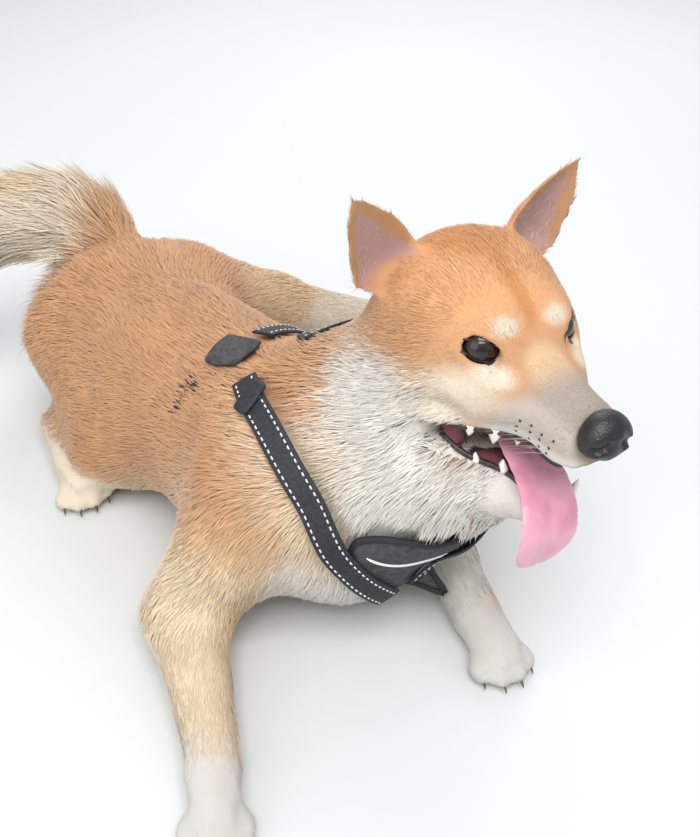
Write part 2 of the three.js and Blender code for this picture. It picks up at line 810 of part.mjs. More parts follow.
function onCoat(start, lift) {
  let p = start;
  for (let turn = 0; turn < 8; turn++) p = moved(p, unitSlope(p), lift - animal(...p));
  return p;
}

function strap(route) {
  const places = route.map(([x, y, z]) => new THREE.Vector3(...onCoat([x, y, z], 0)));
  const path = new THREE.CatmullRomCurve3(places);
  const steps = 2 * (route.length - 1);
  const top = [];
  const under = [];
  for (let k = 0; k <= steps; k++) {
    const at = path.getPoint(k / steps).toArray();
    const lift = mixed([route[Math.floor(k / 2)][3]], [route[Math.ceil(k / 2)][3]], 0.5)[0];
    const n = new THREE.Vector3(...unitSlope(at));
    const across = path.getTangent(k / steps).cross(n).normalize().toArray();
    const feet = [-0.5, 0, 0.5].map((u) => onCoat(moved(at, across, u * webbing.width), lift));
    under.push(feet);
    top.push(feet.map((foot) => moved(foot, unitSlope(foot), webbing.thickness)));
  }
  return solid(sheet(top, under));
}

function chestPlate() {
  const top = [];
  const under = [];
  for (let i = 0; i <= plate.rows; i++) {
    const v = i / plate.rows;
    const half = plate.halfWidth * (0.5 + 0.5 * Math.sin((v * Math.PI) / 2)) * (1 - 0.12 * v ** 4);
    const feet = [];
    const faces = [];
    for (let j = 0; j <= plate.columns; j++) {
      const u = -1 + (2 * j) / plate.columns;
      const z = plate.low + (plate.high - plate.low) * (v + 0.12 * (1 - u * u) * (v - 0.5));
      const foot = onCoat([plate.front, plate.middle + u * half, z], webbing.lift);
      const edge = Math.min(1, 0.3 + 1.6 * (1 - Math.abs(u)) + 0.1, 0.3 + 2 * v, 0.3 + 2 * (1 - v));
      feet.push(foot);
      faces.push(moved(foot, unitSlope(foot), plate.thickness * edge));
    }
    under.push(feet);
    top.push(faces);
  }
  return solid(sheet(top, under));
}

// A flat pad on the coat, its long side along a direction
function pad(place, way, length, width, lift, thickness) {
  const middle = onCoat(place, 0);
  const n = new THREE.Vector3(...unitSlope(middle));
  const across = n.clone().cross(new THREE.Vector3(...way)).normalize();
  const forward = across.clone().cross(n).toArray();
  const sideways = across.toArray();
  const rows = [-0.5, -0.42, 0, 0.42, 0.5].map((u) => {
    const half = Math.abs(u) === 0.5 ? 0.38 : 0.5;
    const start = moved(middle, forward, u * length);
    return [-half, 0, half].map((v) => onCoat(moved(start, sideways, v * width), lift));
  });
  const top = rows.map((row) => row.map((p) => moved(p, unitSlope(p), thickness)));
  return solid(sheet(top, rows));
}

// The pieces
const group = new THREE.Group();
const headGroup = new THREE.Group();
headGroup.applyMatrix4(headFrame);
group.add(headGroup);

function paint(color, roughness) {
  return new THREE.MeshStandardMaterial({ color, roughness, metalness: 0 });
}
const finish = {
  tan: paint(0xc98d52, 0.9),
  cream: paint(0xe8dcc8, 0.9),
  white: paint(0xf1ece2, 0.9),
  black: paint(0x1d1a19, 0.45),
  eye: paint(0x140d09, 0.08),
  tongue: paint(0xd98aa0, 0.35),
  webbing: paint(0x191b22, 0.8),
  padding: paint(0x3b3a3d, 0.85),
};

// The largest body of a piece, once its closest vertices are merged
function add(name, piece, material, into = group) {
  const merged = mergeVertices(geometryOf(largest(piece)), 2e-3);
  const mesh = new THREE.Mesh(geometryOf(largest(solid(merged))), material);
  mesh.name = name;
  into.add(mesh);
}

const all = (pieces) => pieces.reduce((a, b) => a.add(b));

// Head
{
  const low = [-153, -111, -162];
  const high = [20, 111, 90];
  const neckSide = cutInHead(neckTopCut);
  const skull = solid(surface(animalInHead, low, high, headCell));
  const skullGrown = solid(surface(grown(animalInHead, gap), low, high, headCell));
  const face = solid(surface(animalInHead, [-46, -62, -136], [88, 62, 20], muzzleCell));
  const space = mouthSpace();
  const upperLips = mirrored((s) => lip(upperLipHeight, mouth.corner[0] + 2, 60, s));
  const lowerLips = mirrored((s) => lip(lowerLipHeight, mouth.corner[0] + 2, 42, s));
  const lips = all([...upperLips, ...lowerLips]);

  let head = inside(skull, [neckSide]).subtract(space).add(lips);
  head = all([head, ...mirrored((s) => eyeBall(s, eyeRadius + gap + lidThickness, 16, 10))]);
  head = without(head, [muzzleCut, aboveMouth]);
  head = without(head, [jawCut, belowMouth]);
  for (const s of [-1, 1]) head = head.subtract(eyeOpening(s)).subtract(eyeBall(s, eyeRadius + gap, 16, 10));
  add("head", head, finish.tan, headGroup);

  const muzzle = all([face.subtract(space), lips, ...upperTeeth()]);
  add("muzzle", without(inside(muzzle, [muzzleCut, aboveMouth]), [noseCut]), finish.cream, headGroup);
  const jaw = all([face.subtract(space), lips, ...lowerTeeth()]);
  add("lower_jaw", inside(jaw, [jawCut, belowMouth, neckSide]), finish.white, headGroup);

  const nose = solid(surface(noseShape, [noseTip - 30, -22, -50], [noseTip + 6, 22, -6], noseCell));
  add("nose", inside(nose, [noseCut]), finish.black, headGroup);
  add("tongue", tongueShape(), finish.tongue, headGroup);
  for (const [s, name] of [[-1, "right"], [1, "left"]]) {
    add("eye_" + name, eyeBall(s, eyeRadius, 14, 9), finish.eye, headGroup);
    add("ear_" + name, earLeaf(s).subtract(skullGrown), finish.tan, headGroup);
  }
}

// Trunk
const trunkLow = [-291, -136, -17];
const trunkHigh = [270, 170, 306];
const trunkWhole = solid(surface(animal, trunkLow, trunkHigh, trunkCell));
const trunkGrown = solid(surface(grown(animal, gap + 0.2), trunkLow, trunkHigh, trunkCell));
{
  let trunk = inside(trunkWhole, [floor].map(([p, n]) => [[p[0], p[1], p[2] - gap / 2], n]));
  trunk = without(trunk, [neckTopCut]);
  for (const cuts of Object.values(legCuts)) trunk = without(trunk, cuts);
  add("neck", inside(trunk, [neckBaseCut]), finish.cream);
  const torso = without(trunk, [neckBaseCut]);
  add("chest", without(torso, [loinCut]), finish.tan);
  add("loin", without(inside(torso, [loinCut]), [rumpCut]), finish.tan);
  add("rump", inside(torso, [rumpCut]), finish.tan);
}

// Legs
const legBoxes = {
  foreRight: [[20, -240, -11.5], [300, -60, 160]],
  foreLeft: [[20, -20, -11.5], [310, 150, 160]],
  hindRight: [[-270, -170, -11.5], [-40, -60, 150]],
  hindLeft: [[-270, 70, -11.5], [-30, 340, 150]],
};
for (const [name, leg] of Object.entries(legs)) {
  const [low, high] = legBoxes[name];
  const whole = solid(surface(animal, low, high, legCell));
  const onFloor = side([0, 0, 0], [0, 0, 1]);
  const limbWhole = inside(whole, legCuts[name]).intersect(onFloor);
  const fore = name.startsWith("fore");
  const sideName = name.endsWith("Right") ? "right" : "left";
  const from = fore ? leg.wrist : leg.hock;
  const paw = name === "hindRight" ? [[0, 0, 40], [0, 0, -1]] : along(from, leg.toes, fore ? 0 : 0.2);
  const toes = all(toesOf(leg, from)).intersect(onFloor);
  const upper = (fore ? "foreleg_" : "thigh_") + sideName;
  const lower = (fore ? "forepaw_" : "hindpaw_") + sideName;
  add(lower, inside(limbWhole.add(toes), [paw]), finish.white);
  const rest = without(limbWhole, [paw]);
  if (name === "hindLeft") {
    const shank = along(leg.knee, leg.hock, 0.32);
    add("shank_left", inside(rest, [shank]), finish.cream);
    add(upper, without(rest, [shank]), finish.tan);
  } else add(upper, rest, finish.tan);
}

// Harness
for (const [name, route] of Object.entries(strapRoutes)) add(name, strap(route), finish.webbing);
add("chest_plate", chestPlate(), finish.padding);
add("back_pad", pad([22, -27, 186], [1, 0.3, 0], 40, 34, webbing.lift, 4), finish.padding);
const aboveStrap = webbing.lift + webbing.thickness + 0.6;
add("adjuster", pad([86, -50, 184], [1, 0.2, -0.1], 15, 27, aboveStrap, 2.6), finish.webbing);

// Tail, parted in three lengths
{
  const radiusAt = (t) => tailRadius * Math.min(1, 0.62 + 1.6 * t) * Math.sqrt(Math.max(0.05, 1 - t ** 6));
  const tail = tailCore(radiusAt, 16, 12);
  const free = tail.subtract(trunkGrown);
  const cutAt = (t) => [tailPath.getPointAt(t).toArray(), tailPath.getTangentAt(t).toArray()];
  const first = cutAt(0.36);
  const second = cutAt(0.68);
  add("tail_root", without(free, [first]), finish.tan);
  add("tail_middle", without(inside(free, [first]), [second]), finish.tan);
  add("tail_end", inside(free, [second]), finish.cream);
}

export default group;
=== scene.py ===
import math
import bpy
import bmesh
import numpy as np
from mathutils import Matrix, Vector
from mathutils.bvhtree import BVHTree


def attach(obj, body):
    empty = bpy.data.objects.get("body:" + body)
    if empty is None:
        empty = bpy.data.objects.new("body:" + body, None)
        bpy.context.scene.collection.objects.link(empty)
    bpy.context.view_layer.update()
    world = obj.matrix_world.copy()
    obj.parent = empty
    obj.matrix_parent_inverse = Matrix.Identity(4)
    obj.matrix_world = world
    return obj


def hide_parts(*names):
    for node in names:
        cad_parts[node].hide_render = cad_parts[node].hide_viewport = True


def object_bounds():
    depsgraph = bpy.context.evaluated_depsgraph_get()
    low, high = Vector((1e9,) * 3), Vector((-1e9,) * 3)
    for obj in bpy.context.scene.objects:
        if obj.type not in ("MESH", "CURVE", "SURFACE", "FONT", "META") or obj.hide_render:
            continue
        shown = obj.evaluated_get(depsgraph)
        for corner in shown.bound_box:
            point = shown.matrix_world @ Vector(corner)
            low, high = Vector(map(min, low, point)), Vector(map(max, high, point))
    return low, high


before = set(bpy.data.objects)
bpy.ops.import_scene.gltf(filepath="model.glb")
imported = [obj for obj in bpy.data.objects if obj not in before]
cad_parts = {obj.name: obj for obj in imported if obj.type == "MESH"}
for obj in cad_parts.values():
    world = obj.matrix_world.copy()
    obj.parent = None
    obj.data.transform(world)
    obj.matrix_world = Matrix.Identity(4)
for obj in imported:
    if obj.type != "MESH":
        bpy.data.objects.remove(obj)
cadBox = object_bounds()
root = "root"
mm = 0.001
rng = np.random.default_rng(7)

# the head's own frame, as the solids hold it: X to the nose, Y left, Z up
headPose = {"place": (232, 59, 265), "yaw": -8.7, "nod": -5.3, "roll": -3.1}
headTurn = (
    Matrix.Rotation(math.radians(headPose["yaw"]), 3, "Z")
    @ Matrix.Rotation(math.radians(headPose["nod"]), 3, "Y")
    @ Matrix.Rotation(math.radians(headPose["roll"]), 3, "X")
)
headPlace = Vector(headPose["place"])


def fromHead(x, y, z):
    return (headTurn @ Vector((x, y, z)) + headPlace) * mm


def toHead(points):
    turn = np.array(headTurn)
    return (points / mm - np.array(headPlace)) @ turn


# camera, light and floor
camera = {
    "place": (0.5754, -0.3456, 0.5941), "right": (0.616, 0.788, 0.0), "up": (-0.474, 0.371, 0.799),
    "back": (0.629, -0.492, 0.602), "lens": 43.0, "sensor": 36,
}


def addCamera():
    bpy.ops.object.camera_add()
    cam = bpy.context.object
    cam.data.lens = camera["lens"]
    cam.data.sensor_width = camera["sensor"]
    turn = Matrix((camera["right"], camera["up"], camera["back"])).transposed()
    cam.matrix_world = Matrix.Translation(camera["place"]) @ turn.normalized().to_4x4()
    bpy.context.scene.camera = cam


lights = {
    "key": {"place": (0.9, -0.5, 1.9), "size": 1.3, "power": 33},
    "fill": {"place": (0.2, -1.8, 1.0), "size": 1.8, "power": 12},
    "back": {"place": (-1.1, 1.2, 1.5), "size": 1.4, "power": 18},
}
studio = {"aim": (0.05, 0.0, 0.12), "sky": (0.86, 0.9, 0.95), "skyPower": 0.75}
floorSizes = {"side": 8, "drop": 0.0004, "colour": (0.66, 0.67, 0.66), "roughness": 0.9}


def addLights():
    for name, light in lights.items():
        bpy.ops.object.light_add(type="AREA", location=light["place"])
        lamp = bpy.context.object
        lamp.name = "light_" + name
        lamp.data.size = light["size"]
        lamp.data.energy = light["power"]
        ahead = Vector(studio["aim"]) - Vector(light["place"])
        lamp.rotation_euler = ahead.to_track_quat("-Z", "Y").to_euler()
    world = bpy.data.worlds.new("studio")
    world.use_nodes = True
    sky = world.node_tree.nodes["Background"]
    sky.inputs["Color"].default_value = (*studio["sky"], 1)
    sky.inputs["Strength"].default_value = studio["skyPower"]
    bpy.context.scene.world = world
    bpy.context.scene.view_settings.view_transform = "Standard"


def addFloor():
    bpy.ops.mesh.primitive_plane_add(size=floorSizes["side"], location=(0, 0, -floorSizes["drop"]))
    floor = bpy.context.object
    floor.name = "floor"
    floor.data.materials.append(plain("floor_finish", floorSizes["colour"], floorSizes["roughness"]))


# materials
grain = {"bumpDetail": 3.0, "mottleDetail": 4.0, "darkEnd": 0.35, "lightEnd": 0.65}


def shaderOf(material):
    return material.node_tree.nodes["Principled BSDF"]


def plain(name, colour, roughness, **sockets):
    material = bpy.data.materials.new(name)
    material.use_nodes = True
    shader = shaderOf(material)
    shader.inputs["Base Color"].default_value = (*colour, 1)
    shader.inputs["Roughness"].default_value = roughness
    for socket, value in sockets.items():
        shader.inputs[socket.replace("_", " ")].default_value = value
    return material


def textureOf(material, kind, scale, detail):
    where = material.node_tree.nodes.new("ShaderNodeTexCoord")
    texture = material.node_tree.nodes.new(kind)
    texture.inputs["Scale"].default_value = scale
    if kind == "ShaderNodeTexNoise":
        texture.inputs["Detail"].default_value = detail
    material.node_tree.links.new(where.outputs["Object"], texture.inputs["Vector"])
    return texture


def bumped(material, scale, strength, distance, kind="ShaderNodeTexNoise"):
    texture = textureOf(material, kind, scale, grain["bumpDetail"])
    links = material.node_tree.links
    bump = material.node_tree.nodes.new("ShaderNodeBump")
    bump.inputs["Strength"].default_value = strength
    bump.inputs["Distance"].default_value = distance
    links.new(texture.outputs[0], bump.inputs["Height"])
    links.new(bump.outputs["Normal"], shaderOf(material).inputs["Normal"])
    return material


def mottled(material, dark, light, scale):
    noise = textureOf(material, "ShaderNodeTexNoise", scale, grain["mottleDetail"])
    links = material.node_tree.links
    ramp = material.node_tree.nodes.new("ShaderNodeValToRGB")
    ends = ((grain["darkEnd"], dark), (grain["lightEnd"], light))
    for element, (position, colour) in zip(ramp.color_ramp.elements, ends):
        element.position = position
        element.color = (*colour, 1)
    links.new(noise.outputs[0], ramp.inputs["Fac"])
    links.new(ramp.outputs["Color"], shaderOf(material).inputs["Base Color"])
    return material


def painted(name, roughness, **sockets):
    material = plain(name, (0.5, 0.5, 0.5), roughness, **sockets)
    attribute = material.node_tree.nodes.new("ShaderNodeAttribute")
    attribute.attribute_name = "coatColour"
    base = shaderOf(material).inputs["Base Color"]
    material.node_tree.links.new(attribute.outputs["Color"], base)
    return material


# coat: how its colour, length, depth and lie change over the body
tan = (0.56, 0.295, 0.145)
deepTan = (0.58, 0.25, 0.09)
foreheadTan = (0.70, 0.355, 0.165)
lightTan = (0.68, 0.45, 0.26)
creamTan = (0.74, 0.58, 0.40)
cream = (0.74, 0.63, 0.49)
white = (0.75, 0.705, 0.64)
# the paws' white, darkened with painted shade, since their short hair shades itself less than the longer
# coat
shadedPawWhite = (0.60, 0.57, 0.53)
greyCream = (0.36, 0.30, 0.25)
paleGrey = (0.50, 0.43, 0.37)
pinkWhite = (0.50, 0.31, 0.28)
darkLip = (0.022, 0.018, 0.018)
# the skin inside the mouth: pink, darkened with painted shade inside the open mouth
shadedMouthPink = (0.16, 0.045, 0.05)

# each patch: centre, radii, value, how soft its rim is; "part" and "head" are the frames
colourPatches = {
    "part": [
        ((120, -70, 70), (95, 70, 60), lightTan, 0.6), ((110, -120, 45), (90, 60, 50), creamTan, 0.6),
        ((170, -160, 25), (80, 60, 40), creamTan, 0.6), ((60, -92, 30), (150, 40, 34), lightTan, 0.6),
        ((60, 0, 0), (190, 90, 40), cream, 0.5), ((172, -30, 62), (50, 62, 56), white, 0.45),
        ((185, 30, 60), (60, 70, 60), white, 0.45), ((262, 36, 12), (62, 34, 30), shadedPawWhite, 0.5),
        ((246, -200, 12), (62, 44, 32), shadedPawWhite, 0.7), ((-110, -112, 8), (120, 50, 32), cream, 0.5),
        ((-180, 175, 70), (60, 110, 70), lightTan, 0.6), ((-130, 235, 30), (80, 90, 50), cream, 0.6),
        ((-84, 288, 10), (70, 34, 30), shadedPawWhite, 0.5), ((150, 20, 165), (95, 90, 70), creamTan, 0.7),
        ((165, -20, 190), (40, 40, 36), cream, 0.7), ((90, 10, 195), (60, 70, 40), tan, 0.7),
        ((186, -30, 132), (52, 42, 44), creamTan, 0.55), ((205, -5, 140), (44, 40, 60), white, 0.5),
        ((190, 80, 140), (70, 50, 60), cream, 0.55), ((-305, -90, 160), (72, 150, 80), cream, 0.35),
        ((-318, -60, 222), (70, 120, 26), lightTan, 0.8),
    ],
    "head": [
        ((-44, -6, -112), (60, 66, 52), white, 0.45), ((-50, 52, -52), (50, 40, 40), white, 0.45),
        ((10, 0, -98), (60, 40, 40), white, 0.4), ((-36, 0, 34), (62, 66, 44), foreheadTan, 0.5),
        ((-20, 0, 28), (46, 6, 24), deepTan, 0.8), ((-70, 0, 44), (34, 34, 26), deepTan, 0.8),
        ((26, 0, -12), (40, 15, 16), lightTan, 0.6), ((60, 0, -26), (40, 34, 22), greyCream, 0.7),
        ((40, 22, -36), (40, 18, 16), paleGrey, 0.6), ((40, 22, -50), (50, 18, 9), white, 0.6),
        ((-8, 44, -30), (34, 22, 18), cream, 0.9), ((12, 32, -13), (16, 12, 7), cream, 0.9),
        ((6, 19, 13), (12, 9, 5), cream, 1.2),
    ],
}
lengthPatches = {  # millimetres of hair
    "part": [
        ((150, 20, 150), (105, 110, 85), 27, 0.5), ((-205, 0, 80), (80, 110, 100), 21, 0.6),
        ((-300, -90, 165), (100, 150, 105), 44, 0.35), ((205, -176, 20), (105, 70, 60), 9, 0.5),
        ((225, 50, 20), (95, 60, 50), 9, 0.5), ((250, -200, 10), (50, 45, 40), 5, 0.5),
        ((266, 36, 10), (50, 45, 40), 5, 0.5), ((-130, 240, 25), (110, 90, 70), 10, 0.5),
        ((-110, -115, 12), (110, 45, 34), 7, 0.5),
    ],
    "head": [
        ((-50, 0, 10), (75, 85, 66), 9, 0.4), ((-44, 0, -60), (62, 86, 50), 20, 0.5),
        ((6, 0, -12), (48, 62, 44), 5.5, 0.5), ((60, 0, -32), (52, 42, 32), 4, 0.5),
        ((22, 0, -106), (44, 36, 22), 6, 0.5), ((-64, 70, 52), (34, 46, 50), 6.5, 0.3),
    ],
}
liftPatches = {  # degrees between hair and skin
    "part": [
        ((-300, -90, 165), (100, 150, 105), 36, 0.35), ((150, 20, 150), (105, 110, 85), 26, 0.5),
    ],
    "head": [
        ((6, 0, -12), (60, 70, 50), 19, 0.5), ((50, 0, -40), (60, 50, 40), 22, 0.5),
    ],
}
depthPatches = {  # millimetres from the coat's surface down to the skin
    "part": [
        ((150, 20, 150), (105, 110, 85), 7.6, 0.5), ((-300, -90, 165), (90, 150, 100), 17, 0.35),
        ((205, -176, 20), (105, 70, 60), 3.2, 0.5), ((225, 50, 20), (95, 60, 50), 3.2, 0.5),
        ((250, -200, 10), (50, 45, 40), 1.4, 0.5), ((266, 36, 10), (50, 45, 40), 1.4, 0.5),
        ((-130, 240, 25), (110, 90, 70), 3.2, 0.5), ((-110, -115, 12), (110, 45, 34), 2, 0.5),
    ],
    "head": [
        ((-50, 0, 10), (75, 85, 66), 2.6, 0.4), ((-44, 0, -60), (62, 86, 50), 6, 0.5),
        ((6, 0, -12), (48, 62, 44), 1.5, 0.5), ((60, 0, -32), (52, 42, 32), 0.8, 0.5),
        ((22, 0, -106), (44, 36, 22), 1.2, 0.5), ((-22, 58, -56), (34, 24, 26), 8.5, 0.5),
        ((-64, 70, 52), (34, 46, 50), 0.9, 0.3),
    ],
}
densityPatches = {
    "head": [
        ((-40, 0, -20), (110, 100, 110), 2.4, 0.3), ((30, 0, -25), (70, 60, 50), 5.0, 0.5),
    ],
    "part": [
        ((150, 0, 100), (120, 120, 110), 1.5, 0.5), ((-120, 60, 10), (300, 300, 8), 0.4, 0.3),
    ],
}


# in the head's frame, an entry left of the middle stands for a pair that mirror each other
def entriesOf(table):
    for where, entries in table.items():
        for first, second, *rest in entries:
            yield (where, first, second, *rest)
            if where == "head" and first[1] > 0:
                yield (where, *((x, -y, z) for x, y, z in (first, second)), *rest)


def patched(points, base, table):
    value = np.tile(np.atleast_1d(np.array(base, float)), (len(points), 1))
    inPart = points / mm
    inHead = toHead(points)
    for where, centre, radii, to, soft in entriesOf(table):
        at = inHead if where == "head" else inPart
        reach = np.linalg.norm((at - centre) / radii, axis=1)
        share = np.clip((1 + soft * 0.5 - reach) / soft, 0, 1)
        share = (share * share * (3 - 2 * share))[:, None]
        value = value * (1 - share) + share * np.atleast_1d(np.array(to, float))
    return value if value.shape[1] > 1 else value[:, 0]


wholeTurn = 6.28


# smooth seeded noise from a few crossed waves, within about one to each side of 0
def ripple(points, size, seed, count=6, longest=0.7, shortest=1.6):
    draw = np.random.default_rng(seed)
    total = np.zeros(len(points))
    for _ in range(count):
        way = draw.normal(size=3)
        way = way / np.linalg.norm(way) * draw.uniform(longest, shortest)
        total += np.sin(points / (size * mm) @ way + draw.uniform(0, wholeTurn))
    return total / (count / 2)


# the lie of the coat: place, direction, reach in millimetres
lieMarks = {
    "head": [
        ((86, 0, -24), (-1, 0, 0.25), 30), ((50, 24, -35), (-1, 0.35, -0.2), 34),
        ((20, 0, 0), (-0.8, 0, 0.7), 30), ((-10, 0, 30), (-1, 0, 0.35), 36),
        ((-60, 0, 50), (-1, 0, 0), 40), ((-5, 46, -10), (-0.9, 0.5, -0.35), 34),
        ((-40, 68, -30), (-0.85, 0.2, -0.6), 46), ((-30, 30, -100), (-0.7, 0.1, -0.8), 46),
        ((30, 0, -112), (-0.95, 0, -0.2), 34), ((-62, 78, 60), (0.05, 0.45, 0.9), 34),
    ],
    "part": [
        ((120, 50, 200), (-0.75, -0.3, -0.6), 60), ((110, -40, 165), (-0.8, -0.3, -0.5), 60),
        ((190, 0, 120), (-0.35, 0, -0.95), 60), ((185, 0, 60), (-0.3, 0, -0.95), 60),
        ((110, -100, 90), (-0.35, -0.5, -0.8), 60), ((110, 95, 90), (-0.35, 0.5, -0.8), 60),
        ((100, -130, 35), (0.45, -0.55, -0.6), 40), ((160, -155, 30), (0.9, -0.4, -0.1), 50),
        ((240, -195, 20), (0.9, -0.45, -0.1), 50), ((112, 100, 35), (0.6, 0.3, -0.5), 40),
        ((180, 72, 30), (0.92, -0.35, -0.1), 50), ((255, 40, 20), (0.95, -0.25, -0.1), 50),
        ((30, -90, 100), (-0.95, -0.1, -0.3), 80), ((30, 70, 100), (-0.95, 0.1, -0.3), 80),
        ((30, -10, 180), (-1, 0, 0), 80), ((-80, -10, 165), (-1, 0, 0), 90),
        ((-80, -95, 90), (-0.95, -0.05, -0.3), 80), ((-80, 70, 90), (-0.95, 0.05, -0.3), 80),
        ((-190, -80, 100), (-0.75, -0.2, -0.6), 80), ((-200, 70, 110), (-0.6, 0.6, -0.45), 60),
        ((-120, -115, 50), (-0.5, -0.3, -0.8), 60), ((-110, -115, 12), (0.95, -0.2, 0), 50),
        ((-190, 150, 60), (0.05, 0.95, -0.3), 60), ((-165, 240, 35), (0.4, 0.85, -0.2), 50),
        ((-90, 285, 20), (0.9, 0.3, -0.1), 50), ((-260, 0, 110), (-0.5, 0, -0.85), 60),
        ((-262, 8, 165), (-0.5, -0.1, 0.85), 40), ((-292, -25, 190), (-0.4, -0.85, 0.3), 44),
        ((-315, -90, 185), (-0.3, -0.9, -0.25), 50), ((-325, -150, 145), (-0.1, -0.7, -0.7), 50),
    ],
}


def lieOf(points, normals, floor=0.02, power=4):
    flow = np.zeros_like(points)
    inPart = points / mm
    for where, place, way, reach in entriesOf(lieMarks):
        at = np.array(place, float)
        way = np.array(way, float)
        if where == "head":
            at = np.array(fromHead(*place)) / mm
            way = np.array(headTurn @ Vector(way))
        way = way / np.linalg.norm(way)
        far = np.linalg.norm(inPart - at, axis=1) / reach
        flow += way * (1 / (floor + far ** power))[:, None]
    flow /= np.linalg.norm(flow, axis=1)[:, None]
    flow -= normals * (flow * normals).sum(1)[:, None]
    size = np.linalg.norm(flow, axis=1)[:, None]
    return flow / np.maximum(size, 1e-6)


# the mouth, as a wedge in the head's frame, in millimetres
mouth = {
    "corner": (-30, -57),
    "open": 3,  # half of the gap at the corner
    "upper": (74, -52), "lower": (46, -99),
    "bendFrom": 40,  # further out than this, the corner draws forward
    "bend": 0.45, "widest": 74, "front": 90, "pink": 0.6, "dark": 2.0,
}


def lipLine(end, start):
    rise = (end[1] - start) / (end[0] - mouth["corner"][0])
    return lambda x: start + (x - mouth["corner"][0]) * rise


upperLip = lipLine(mouth["upper"], mouth["corner"][1] + mouth["open"])
lowerLip = lipLine(mouth["lower"], mouth["corner"][1] - mouth["open"])


def insideMouth(points, margin):
    x, y, z = toHead(points).T
    out = np.abs(y)
    corner = mouth["corner"][0] + np.maximum(out - mouth["bendFrom"], 0) * mouth["bend"]
    between = (z < upperLip(x) + margin) & (z > lowerLip(x) - margin)
    return (x > corner - margin) & between & (out < mouth["widest"]) & (x < mouth["front"])


# how close the coat is to the mouth's rim: 1 at the lips, 0 where the reach ends
def nearMouth(points, reach=16, side=62, back=-50):
    x, y, z = toHead(points).T
    outside = np.maximum(np.maximum(lowerLip(x) - z, z - upperLip(x)), mouth["corner"][0] - x)
    share = np.clip(1 - outside / reach, 0, 1)
    return share * (np.abs(y) < side) * (x > back)


# meshes
def onlyActive(piece):
    bpy.ops.object.select_all(action="DESELECT")
    piece.select_set(True)
    bpy.context.view_layer.objects.active = piece


def applied(piece, kind, **settings):
    onlyActive(piece)
    modifier = piece.modifiers.new(kind.lower(), kind)
    for name, value in settings.items():
        setattr(modifier, name, value)
    bpy.ops.object.modifier_apply(modifier=modifier.name)


def smoothMesh(piece, rounds):
    applied(piece, "SMOOTH", factor=0.5, iterations=rounds)


def shadeSmooth(piece):
    onlyActive(piece)
    bpy.ops.object.shade_smooth()


def linked(name, mesh):
    piece = bpy.data.objects.new(name, mesh)
    bpy.context.scene.collection.objects.link(piece)
    return piece


def newMesh(name, places, faces, material=None):
    mesh = bpy.data.meshes.new(name)
    mesh.from_pydata([tuple(p) for p in places], [], faces)
    mesh.validate()
    piece = linked(name, mesh)
    onlyActive(piece)
    bpy.ops.object.mode_set(mode="EDIT")
    bpy.ops.mesh.select_all(action="SELECT")
    bpy.ops.mesh.normals_make_consistent(inside=False)
    bpy.ops.object.mode_set(mode="OBJECT")
    bpy.ops.object.shade_smooth()
    if material:
        mesh.materials.append(material)
    return piece


def bandFaces(first, rings, around):
    faces = []
    for k in range(rings - 1):
        for j in range(around):
            a = first + k * around + j
            b = first + k * around + (j + 1) % around
            faces.append((a, b, b + around, a + around))
    return faces


# each shape is a list of rings, closed at both ends
def meshOfRings(shapes):
    places, faces = [], []
    for rings in shapes:
        first, around = len(places), len(rings[0])
        places += [p for ring in rings for p in ring]
        faces += bandFaces(first, len(rings), around)
        faces.append(list(range(first, first + around))[::-1])
        faces.append(list(range(len(places) - around, len(places))))
    return places, faces


# two grids of points, one over the other, closed round the rim
def shellFaces(rows, columns):
    wide = columns + 1
    under = (rows + 1) * wide
    faces = []
    for i in range(rows):
        for j in range(columns):
            a = i * wide + j
            faces.append((a, a + 1, a + wide + 1, a + wide))
            faces.append((under + a, under + a + wide, under + a + wide + 1, under + a + 1))
    rim = list(range(wide)) + [i * wide + columns for i in range(1, rows + 1)]
    rim += [rows * wide + j for j in range(columns - 1, -1, -1)]
    rim += [i * wide for i in range(rows - 1, 0, -1)]
    faces += [(a, b, under + b, under + a) for a, b in zip(rim, rim[1:] + rim[:1])]
    return faces, rim


def copiesOf(names, name, swell=0.0, weld=2e-5):
    made = bmesh.new()
    for node in names:
        one = bmesh.new()
        one.from_mesh(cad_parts[node].data)
        bmesh.ops.remove_doubles(one, verts=one.verts, dist=weld)
        one.normal_update()
        for v in one.verts:
            v.co += v.normal * swell
        mesh = bpy.data.meshes.new("scrap")
        one.to_mesh(mesh)
        made.from_mesh(mesh)
        one.free()
        bpy.data.meshes.remove(mesh)
    mesh = bpy.data.meshes.new(name)
    made.to_mesh(mesh)
    made.free()
    return linked(name, mesh)


def arrays(piece):
    count = len(piece.data.vertices)
    places = np.zeros(count * 3)
    normals = np.zeros(count * 3)
    piece.data.vertices.foreach_get("co", places)
    piece.data.vertices.foreach_get("normal", normals)
    return places.reshape(-1, 3), normals.reshape(-1, 3)


def placeAll(piece, places):
    piece.data.vertices.foreach_set("co", places.ravel())
    piece.data.update()


def colourAll(piece, colours):
    layer = piece.data.color_attributes.new("coatColour", "FLOAT_COLOR", "POINT")
    four = np.ones((len(colours), 4))
    four[:, :3] = colours
    layer.data.foreach_set("color", four.ravel())


# the skin, one mesh for the whole body
fleshStems = (
    "head", "muzzle", "lower_jaw", "ear_", "neck", "chest", "loin", "rump",
    "fore", "hind", "thigh", "shank", "tail",
)
fleshNodes = [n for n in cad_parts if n.startswith(fleshStems) and n != "chest_plate"]
skinSizes = {
    "voxel": 0.003, "overlap": 0.0006, "smooth": {"first": 6, "body": 14, "last": 3}, "baseDepth": 4.6,
    "baseLength": 17, "baseLift": 21,
    "deepest": 0.22,  # as a share of the local thickness
    # shade darkens the skin's colour: painted shade under the coat
    "floorGap": 0.0006, "shade": 0.9, "islandGap": 0.003, "islandAngle": 66,
}


